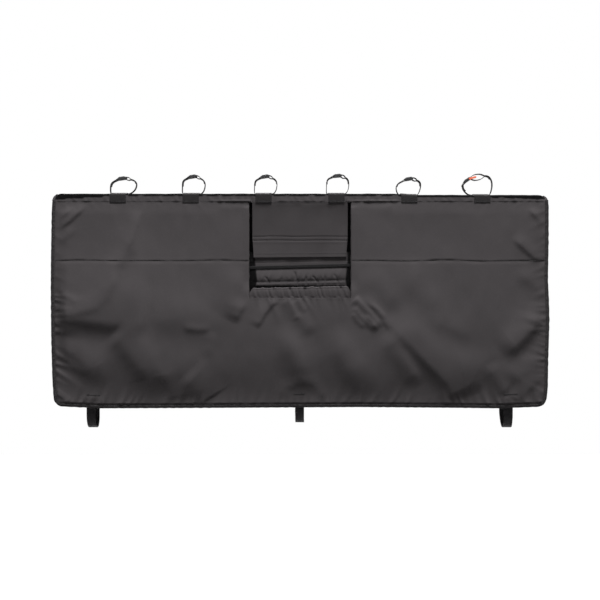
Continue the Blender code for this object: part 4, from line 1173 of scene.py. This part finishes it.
def front_stitches():
    """Rows across both sides, down the window's sides and under it, and the lower straps' bar tacks."""
    spots = []
    for low, high in SIDE_RANGES:
        for px in np.arange(low, high, FRONT_PITCH):
            spots.append(row_spot(front_place, px, SIDE_ROW, FRONT_LENGTH, 0.0003))
    for px in WINDOW_COLUMNS:
        for py in np.arange(206, 296, FRONT_PITCH):
            x, y, z = front_place(*at(np.full(2, px), np.array([py, py + FRONT_LENGTH])))
            spots.append(np.stack([x, y - 0.0002, z], 1))
    for px in np.arange(252, 350, FRONT_PITCH):
        spots.append(row_spot(front_place, px, UNDER_ROW, FRONT_LENGTH, 0.0002))
    stitches("front_stitches", spots, "thread", 0.0003)
    spots = []
    for low, high, py in TACKS:
        count = int((high - low) / TACK_PITCH)
        for i in range(count):
            px = low + (high - low) * i / count
            swing = TACK_HALF * (1 if i % 2 else -1)
            x, y, z = front_place(*at(np.array([px, px + 0.16]), np.array([py + swing, py - swing])))
            spots.append(np.stack([x, y - 0.0003, z], 1))
    stitches("bar_tacks", spots, "dark_thread", 0.00045)


# Webbing


def ribbon(name, path, plane, width, thick, look, replaced, middle=0.0, size=0.0016, edge=0.0005):
    """Webbing along a path of its middle layer. plane(a, b, w) gives a place from path axes and width."""
    path = np.asarray(path, float)
    run = spread(path)
    us = np.unique(np.concatenate([run[[0, -1]], steps(0, run[-1], size * COARSE)]))

    def place(u, v):
        return plane(np.interp(u, run, path[:, 0]), np.interp(u, run, path[:, 1]), v + middle)

    piece = settle(new_piece(name, cloth(us, np.linspace(-width / 2, width / 2, 7), place)), look, replaced)
    thicken(piece, thick, 0.0)
    round_edges(piece, edge)
    return piece, float(run[-1])


def across(a, b, w):
    return w, a, b


def facing(a, b, w):
    return a, w, b


def tab_path():
    """The middle of a tab's webbing: up the front, over the bend and two legs of a tube strap, and down again."""
    clear = TAB_THICK / 2 + 0.0002
    near = PAD_THICK + clear
    flat_half = HALF_CHANNEL - INNER_BEND
    lift = near + STRAP_THICK + 0.0008
    inner = STRAP_WIDTH / 2 + 0.0019
    outer = min(inner + 0.010, flat_half)
    front = [(-OUTER - clear, -TAB_DROP)]
    for s in np.linspace(0.002, OVER_RUN[len(OVER_RUN) // 2 - 1], 30):
        front.append(over(s, boxed(s) / 1000 + clear))
    rise = np.linspace(0, 1, 9)[1:]
    front += [(-outer + (outer - inner) * t, near + (lift - near) * smooth(t)) for t in rise]
    return np.array(front + [(-a, b) for a, b in reversed(front)])


# Y of the stitches on a tab's face, and their heights
TAB_FACE = OUTER + TAB_THICK + 0.0001
TAB_LINES = (-0.0146, -0.0156)


def tabs():
    """The six tabs over the top edge, with their stitches."""
    path = tab_path()
    spots = []

    def sunk(a, b, w):
        return w, a, b - sink(w, b, 0 * b)

    for i, x in enumerate(TABS, 1):
        piece, length = ribbon(f"tab_{i}", path, sunk, TAB_WIDTH, TAB_THICK, "tab", [f"strap_tab_{i}"],
                               middle=x)
        for y in (-TAB_FACE, TAB_FACE):
            for step in np.arange(-0.0235, 0.0236, 0.0031):
                for z in TAB_LINES:
                    spots.append(((x + step - 0.0012, y, z), (x + step + 0.0012, y, z)))
    stitches("tab_stitches", spots, "dark_thread")


def bezier(a, b, c, d, count=12):
    """Points of a cubic curve."""
    t = np.linspace(0, 1, count + 1)[:, None]
    return (1 - t) ** 3 * a + 3 * (1 - t) ** 2 * t * b + 3 * (1 - t) * t ** 2 * c + t ** 3 * d


def catmull(points, count=5):
    """A smooth curve through points."""
    points = np.asarray(points, float)
    full = np.vstack([2 * points[0] - points[1], points, 2 * points[-1] - points[-2]])
    t = np.linspace(0, 1, count + 1)[1:, None]
    result = [points[:1]]
    for a, b, c, d in zip(full, full[1:], full[2:], full[3:]):
        result.append(0.5 * (2 * b + (c - a) * t + (2 * a - 5 * b + 4 * c - d) * t * t
                             + (3 * b - a - 3 * c + d) * t ** 3))
    return np.vstack(result)


def unit(angle_deg):
    """The direction at an angle in degrees."""
    angle = math.radians(angle_deg)
    return np.array([math.cos(angle), math.sin(angle)])


def sewn_end(route, bar, bar_clear, open_half, thick, fold):
    """A strap's route, led on round a bar and folded back along its own left side."""
    back = offset(route, thick + GAP)
    middle = (route[-1] + back[-1]) / 2
    length = math.hypot(*(bar - middle))
    forward = (bar - middle) / length
    left = np.array([-forward[1], forward[0]])
    radius = bar_clear + thick / 2
    wide = max(open_half, radius)
    sides = [(0.30, 0.86), (0.70, 0.94)] if wide > radius else [(0.40, 0.55)]
    near = [middle + forward * length * s - left * wide * part for s, part in sides]
    far = [middle + forward * length * s + left * wide * part for s, part in reversed(sides)]
    turn = np.linspace(0, math.pi, 11)
    cap = [bar + forward * radius * math.sin(a) - left * radius * math.cos(a) for a in turn]
    out = catmull([route[-1]] + near + [cap[0]])
    home = catmull([cap[-1]] + far + [back[-1]])
    behind = back[::-1]
    return np.vstack([route, out[1:-1], cap, home[1:], behind[spread(behind) <= fold][1:]])


# The small buckles: how far each bar stands from the middle, the radius of a bar and of its boss, the cheeks'
# thickness and rounded ends, and the cover's half length and thickness. Then how much of a strap is folded back
BAR_REACH = 0.011
BAR_RADIUS = 0.0016
BOSS_RADIUS = 0.0024
CHEEK = 0.0026
CHEEK_ROUND = 0.00425
COVER_HALF = 0.00775
COVER_THICK = 0.0016
TUBE_FOLD = 0.024

TUBE_LOOPS = [
    # buckle's middle, left bulge, right bulge, tilt and droop in degrees, eye's length and half height
    ((0.0074, 0.0505), (-0.0304, 0.0190), (0.0530, 0.0315), 8, 12, 0.0165, 0.0044),
    ((0.0024, 0.0562), (-0.0308, 0.0260), (0.0420, 0.0310), 9, 24, 0.0150, 0.0040),
    ((0.0037, 0.0565), (-0.0304, 0.0250), (0.0417, 0.0335), 9, 24, 0.0150, 0.0040),
    ((0.0045, 0.0587), (-0.0304, 0.0270), (0.0410, 0.0310), 5, 21, 0.0155, 0.0046),
    ((0.0025, 0.0488), (-0.0378, 0.0190), (0.0405, 0.0300), 9, 18, 0.0155, 0.0046),
    ((-0.0395, 0.0455), (-0.0560, 0.0250), (0.0385, 0.0310), 35, -10, 0.0450, 0.0095),
]


def strand(foot, bulge, join, outward, arrive):
    """One side of a tube strap: out from under the tab, up round its bulge, and in to where it is joined."""
    reach = math.hypot(*(bulge - foot))
    low = 0.45 * reach
    high = 0.42 * math.hypot(*(join - bulge))
    up = np.array([0.0, 1.0])
    lower = bezier(foot, foot + outward * 0.27 * reach, bulge - up * low, bulge)
    return np.vstack([lower, bezier(bulge, bulge + up * high, join - arrive * high, join)[1:]])


def tube_path(buckle, left, right, tilt, droop, eye, eye_open):
    """The route of one tube strap from the tab's middle, in X and Z above the pad's top."""
    flip = np.array([-1.0, 1.0])
    rise = np.array([0.0, PAD_THICK])
    base = PAD_THICK + 0.0006 + STRAP_THICK / 2
    edge = TAB_WIDTH / 2 + 2 * GAP
    centre = np.array(buckle) + rise
    bar_left = centre - unit(tilt) * BAR_REACH
    bar_right = centre + unit(tilt) * BAR_REACH
    into_left = unit(tilt + 16)
    from_right = unit(-droop)
    right_strand = strand(np.array([edge, base]), np.array(right) + rise, bar_right + from_right * eye,
                          np.array([1.0, 0.0]), -from_right)
    left_strand = strand(np.array([-edge, base]), np.array(left) + rise, bar_left - into_left * 0.0144,
                         np.array([-1.0, 0.0]), into_left)
    clear = BAR_RADIUS + GAP
    right_route = sewn_end(right_strand, bar_right, clear, eye_open, STRAP_THICK, TUBE_FOLD)
    left_route = sewn_end(left_strand * flip, bar_left * flip, clear, 0.0, STRAP_THICK, TUBE_FOLD)
    return np.vstack([(left_route * flip)[::-1], right_route])


def solid(bm, outline, plane, low, high):
    """A flat outline given a thickness, from low to high."""
    face = bm.faces.new([bm.verts.new(plane(a, b, low)) for a, b in outline])
    grown = bmesh.ops.extrude_face_region(bm, geom=[face])["geom"]
    moved = [g for g in grown if isinstance(g, bmesh.types.BMVert)]
    bmesh.ops.translate(bm, verts=moved, vec=Vector(plane(0, 0, high)) - Vector(plane(0, 0, low)))


def arc(centre, radius, start_deg, end_deg, count):
    """Points of a circle's arc."""
    return [tuple(np.array(centre) + radius * unit(start_deg + (end_deg - start_deg) * i / count))
            for i in range(count + 1)]


def buckle(name, x, z, tilt, replaced):
    """A cam buckle: two cheeks, two round bars, and a cover with a ribbed thumb edge."""
    bm = bmesh.new()
    inside = STRAP_WIDTH / 2 + GAP
    outside = inside + CHEEK
    cover = BAR_RADIUS + 2 * GAP + STRAP_THICK + COVER_THICK / 2
    top = cover + COVER_THICK / 2
    right = arc((BAR_REACH + 0.003 - CHEEK_ROUND, 0), CHEEK_ROUND, 70, -80, 10)
    cheek = [(-a, b) for a, b in reversed(right)] + [(-COVER_HALF, top), (COVER_HALF, top)] + right
    for low in (-outside, inside):
        solid(bm, cheek, facing, low, low + CHEEK)
    for side in (-1, 1):
        bar = (side * BAR_REACH, 0)
        solid(bm, arc(bar, BAR_RADIUS, 0, 337.5, 15), facing, -inside - 0.001, inside + 0.001)
        for low in (-outside - 0.0004, outside - 0.0006):
            solid(bm, arc(bar, BOSS_RADIUS, 0, 337.5, 15), facing, low, low + 0.0010)
    half_plate = [(0.0034, cover + 0.0006), (0.0066, cover + 0.0009), (COVER_HALF, cover + 0.0004),
                  (COVER_HALF, cover - 0.0008)]
    plate = [(-a, b) for a, b in half_plate[::-1]] + half_plate
    solid(bm, plate, facing, -inside - 0.0005, inside + 0.0005)
    for rib in (-0.0052, -0.0036, 0.0036, 0.0052):
        ridge = [(rib - 0.0004, cover + 0.0004), (rib + 0.0004, cover + 0.0004),
                 (rib + 0.0003, cover + 0.0013), (rib - 0.0003, cover + 0.0013)]
        solid(bm, ridge, facing, -inside + 0.0015, inside - 0.0015)
    bmesh.ops.recalc_face_normals(bm, faces=bm.faces)
    turn = Matrix.Translation((x, 0, z)) @ Matrix.Rotation(-math.radians(tilt), 4, "Y")
    bmesh.ops.transform(bm, matrix=turn, verts=bm.verts)
    for face in bm.faces:
        face.smooth = True
    piece = settle(new_piece(name, bm), "buckle", replaced)
    return round_edges(piece, 0.00035, 2, 35)


def tube_straps():
    """The six tube straps and their buckles, and the pull tab on the last one."""
    for i, (x, loop) in enumerate(zip(TABS, TUBE_LOOPS), 1):
        path = tube_path(*loop) + np.array([x, 0.0])
        path[:, 1] -= sink(x + 0 * path[:, 0], path[:, 1], 0.0) * smooth((0.024 - path[:, 1]) / 0.010)
        piece, length = ribbon(f"tube_loop_{i}", path, facing, STRAP_WIDTH, STRAP_THICK, "webbing",
                               [f"tube_strap_{i}"], size=0.0011)
        buckle(f"cam_buckle_{i}", x + loop[0][0], PAD_THICK + loop[0][1], loop[3], [f"tube_buckle_{i}"])
    x, loop = TABS[-1], TUBE_LOOPS[-1]
    near = STRAP_WIDTH / 2 + 2 * GAP + CHEEK
    start = np.array(loop[0]) + np.array([x, PAD_THICK]) + unit(loop[3]) * 0.0066
    lean = 6 - loop[4]
    tip = start + unit(lean) * 0.0188
    bm = bmesh.new()
    outline = arc(start, 0.0031, lean + 90, lean + 270, 10) + arc(tip, 0.0031, lean - 90, lean + 90, 10)
    solid(bm, outline, facing, -near - 0.0016, -near)
    bmesh.ops.recalc_face_normals(bm, faces=bm.faces)
    piece = settle(new_piece("orange_pull", bm), "pull", ["pull_tab"])
    round_edges(piece, 0.0004, 2, 35)


# A ladder lock: its height, the width of its bars, half its depth, and how far a webbing's face stays from a
# bar's middle
LOCK_TALL = 0.030
LOCK_BAR = 0.0045
LOCK_HALF = 0.0020
LOCK_CLEAR = math.hypot(LOCK_HALF, LOCK_BAR / 2) + GAP

# Each lower strap: its name, its middle, and how far it hangs below the hem
UNDER_STRAPS = [
    ("left", -UNDER_OFFSET, 0.067),
    ("middle", -0.0012, 0.051),
    ("right", UNDER_OFFSET - 0.002, 0.067),
]

# The radius of a lower strap's loop, a lock's height above the rear hem, how much of an anchor is folded back,
# and the heights of its tacks above the lock's upper bar
UNDER_BEND = 0.046
LOCK_ABOVE_HEM = 0.006
ANCHOR_FOLD = 0.070
ANCHOR_TACKS = (0.030, 0.035, 0.087, 0.091)


def lock_frame(name, x, lock_y, low, replaced):
    """A ladder lock: a moulded frame with three bars and two slots."""
    half = UNDER_WIDTH / 2 + 2 * GAP
    bar = LOCK_BAR
    columns = np.array([-half - bar, -half, half, half + bar])
    slot = (LOCK_TALL - 3 * bar) / 2
    rows = low + np.array([0, bar, bar + slot, 2 * bar + slot, 2 * (bar + slot), LOCK_TALL])

    def keep(u, v):
        return abs(u) > half or not (rows[1] < v < rows[2] or rows[3] < v < rows[4])

    def place(u, v):
        return x + u, lock_y + LOCK_HALF + 0 * u, v

    bm = cloth(columns[::-1], rows, place, keep)
    piece = settle(new_piece(name, bm), "buckle", replaced)
    thicken(piece, 2 * LOCK_HALF)
    return round_edges(piece, 0.0009, 3, 35)


def under_straps():
    """The three straps that hang in loops under the hem, their ladder locks, and the locks' short anchors."""
    thick = UNDER_THICK
    sewn_y = -HALF_CHANNEL + GAP + thick / 2
    front_y = sewn_y + 0.0015
    rear_y = BINDING_FACE + GAP + thick / 2
    lock_y = rear_y + thick / 2 + LOCK_CLEAR
    lock_low = -REAR_DROP + LOCK_ABOVE_HEM
    bar_z = lock_low + LOCK_BAR / 2
    for name, x, hang in UNDER_STRAPS:
        bend_top = -FRONT_DROP - hang + thick / 2 + UNDER_BEND
        middle = (front_y + rear_y) / 2
        front = [(sewn_y, -FRONT_DROP + 0.063), (sewn_y, -FRONT_DROP + 0.022), (front_y, -FRONT_DROP + 0.0116)]
        if bend_top < -FRONT_DROP - 2 * GAP:
            front.append((front_y, -FRONT_DROP))
        turn = np.linspace(math.pi, 2 * math.pi, 41)
        half = (rear_y - front_y) / 2
        bend = [(middle + half * math.cos(a), bend_top + UNDER_BEND * math.sin(a)) for a in turn]
        rise = [(rear_y, z) for z in np.linspace(bend_top, bar_z, 30)[1:-1]]
        over_bar = arc((lock_y, bar_z), LOCK_CLEAR + thick / 2, 180, 0, 12)
        end_y = over_bar[-1][0]
        tail = [(end_y, bar_z - LOCK_BAR), (end_y + 0.0006, bar_z - 0.040), (end_y + 0.0016, bar_z - 0.120)]
        path = np.array(front + bend + rise + over_bar + tail)

        def wavy(a, b, w):
            free = smooth((-FRONT_DROP - b) / 0.02) * smooth((a - front_y) / 0.03)
            return w + 0.0016 * np.sin(b * 31 + x * 9) * free, a, b

        piece, length = ribbon(f"hem_strap_{name}", path, wavy, UNDER_WIDTH, thick, "webbing",
                               [f"under_strap_{name}"], middle=x, size=0.0024)
        lock_frame(f"ladder_frame_{name}", x, lock_y, lock_low, [f"ladder_lock_{name}"])
        inner_y = OUTER + GAP + thick / 2
        top_bar = lock_low + LOCK_TALL - LOCK_BAR / 2
        sewn = np.array([(inner_y, z) for z in np.linspace(top_bar + 0.094, top_bar + 0.024, 9)])
        route = sewn_end(sewn, np.array([lock_y, top_bar]), LOCK_CLEAR, 0.0, thick, ANCHOR_FOLD)
        piece, length = ribbon(f"anchor_{name}", route, across, UNDER_WIDTH, thick, "webbing",
                               [f"lock_anchor_{name}"], middle=x, size=0.0024)
        spots = []
        y = inner_y + thick + GAP + thick / 2 + 0.0001
        for line in ANCHOR_TACKS:
            z = top_bar + line
            for step in np.arange(-0.0125, 0.0126, 0.0008):
                spots.append(((x + step, y, z - 0.0011), (x + step + 0.0003, y, z + 0.0011)))
        stitches(f"anchor_tack_{name}", spots, "dark_thread", 0.0004)


front_fabric()
top_pieces()
hanging_panels()
edge_tape("front_edge_tape", -1, FRONT_DROP, 91, ["front_binding"])
edge_tape("rear_edge_tape", 1, REAR_DROP, 95, ["rear_binding"])
end_tape("top_end_tape_left", -1, 101, ["top_binding_left"])
end_tape("top_end_tape_right", 1, 105, ["top_binding_right"])
window_pieces()
front_stitches()
tabs()
tube_straps()
under_straps()
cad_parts["flap_loop_tape"].data.materials.clear()
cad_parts["flap_loop_tape"].data.materials.append(LOOKS["hook_flat"])


# Light, camera and background


CAMERA_DISTANCE = 3.85
SENSOR = 36
AMBIENT = 0.05
FLOOR_Z = -1.6

# Each lamp's name, place, aim, size and power
LAMPS = [
    ("top_light", (0.4, -1.5, 5.3), (0, 0, -0.3), (3.5, 1.3), 960),
    ("front_fill", (-0.6, -3.6, 0.8), (0, 0, -0.3), (2.0, 2.0), 8),
    ("rear_light", (-0.5, 3.6, 2.6), (0, 0, -0.3), (3.0, 2.0), 230),
]


def seen_directly(tree):
    """1 for a ray from the camera or through a clear or mirroring surface, and 0 for any other."""
    path = add(tree, "ShaderNodeLightPath").outputs
    return maths(tree, "MAXIMUM", path["Is Camera Ray"],
                 maths(tree, "MAXIMUM", path["Is Glossy Ray"], path["Is Transmission Ray"]))


def stage():
    """A camera straight in front, three lamps, and a white floor and background."""
    camera = bpy.data.objects.new("camera", bpy.data.cameras.new("camera"))
    bpy.context.scene.collection.objects.link(camera)
    camera.location = (0, -CAMERA_DISTANCE, VIEW_Z)
    camera.rotation_euler = (math.pi / 2, 0, 0)
    camera.data.sensor_width = SENSOR
    camera.data.lens = SENSOR * (CAMERA_DISTANCE - OUTER) / (PHOTO_SIZE * PIXEL)
    bpy.context.scene.camera = camera
    bpy.context.scene.view_settings.view_transform = "Standard"

    world = bpy.data.worlds.new("studio")
    bpy.context.scene.world = world
    world.use_nodes = True
    tree = world.node_tree
    tree.nodes.clear()
    soft = add(tree, "ShaderNodeBackground", {"Color": (1, 1, 1, 1), "Strength": AMBIENT})
    white = add(tree, "ShaderNodeBackground", {"Color": (1, 1, 1, 1), "Strength": 1.0})
    mixed = add(tree, "ShaderNodeMixShader", {0: seen_directly(tree), 1: soft.outputs[0], 2: white.outputs[0]})
    out = add(tree, "ShaderNodeOutputWorld")
    tree.links.new(mixed.outputs[0], out.inputs["Surface"])

    for name, place, target, size, energy in LAMPS:
        lamp = bpy.data.lights.new(name, "AREA")
        lamp.shape = "RECTANGLE"
        lamp.size, lamp.size_y = size
        lamp.energy = energy
        thing = bpy.data.objects.new(name, lamp)
        bpy.context.scene.collection.objects.link(thing)
        thing.location = place
        aim = Vector(target) - Vector(place)
        thing.rotation_euler = aim.to_track_quat("-Z", "Y").to_euler()

    bm = bmesh.new()
    bmesh.ops.create_grid(bm, x_segments=1, y_segments=1, size=6.0)
    floor = new_piece("floor", bm)
    floor.location = (0, 0, FLOOR_Z)
    look = bpy.data.materials.new("floor_paper")
    look.use_nodes = True
    tree = look.node_tree
    shader = tree.nodes["Principled BSDF"]
    shader.inputs["Roughness"].default_value = 0.9
    seen = seen_directly(tree)
    tone = add(tree, "ShaderNodeMix", {"Factor": seen}, data_type="RGBA")
    tone.inputs[6].default_value = (0.12, 0.12, 0.12, 1.0)
    tone.inputs[7].default_value = (0.85, 0.85, 0.85, 1.0)
    tree.links.new(tone.outputs[2], shader.inputs["Base Color"])
    strength = maths(tree, "MULTIPLY", seen, 0.7)
    glow = add(tree, "ShaderNodeEmission", {"Color": (1, 1, 1, 1), "Strength": strength})
    both = add(tree, "ShaderNodeAddShader", {0: shader.outputs[0], 1: glow.outputs[0]})
    tree.links.new(both.outputs[0], tree.nodes["Material Output"].inputs["Surface"])
    floor.data.materials.append(look)


stage()
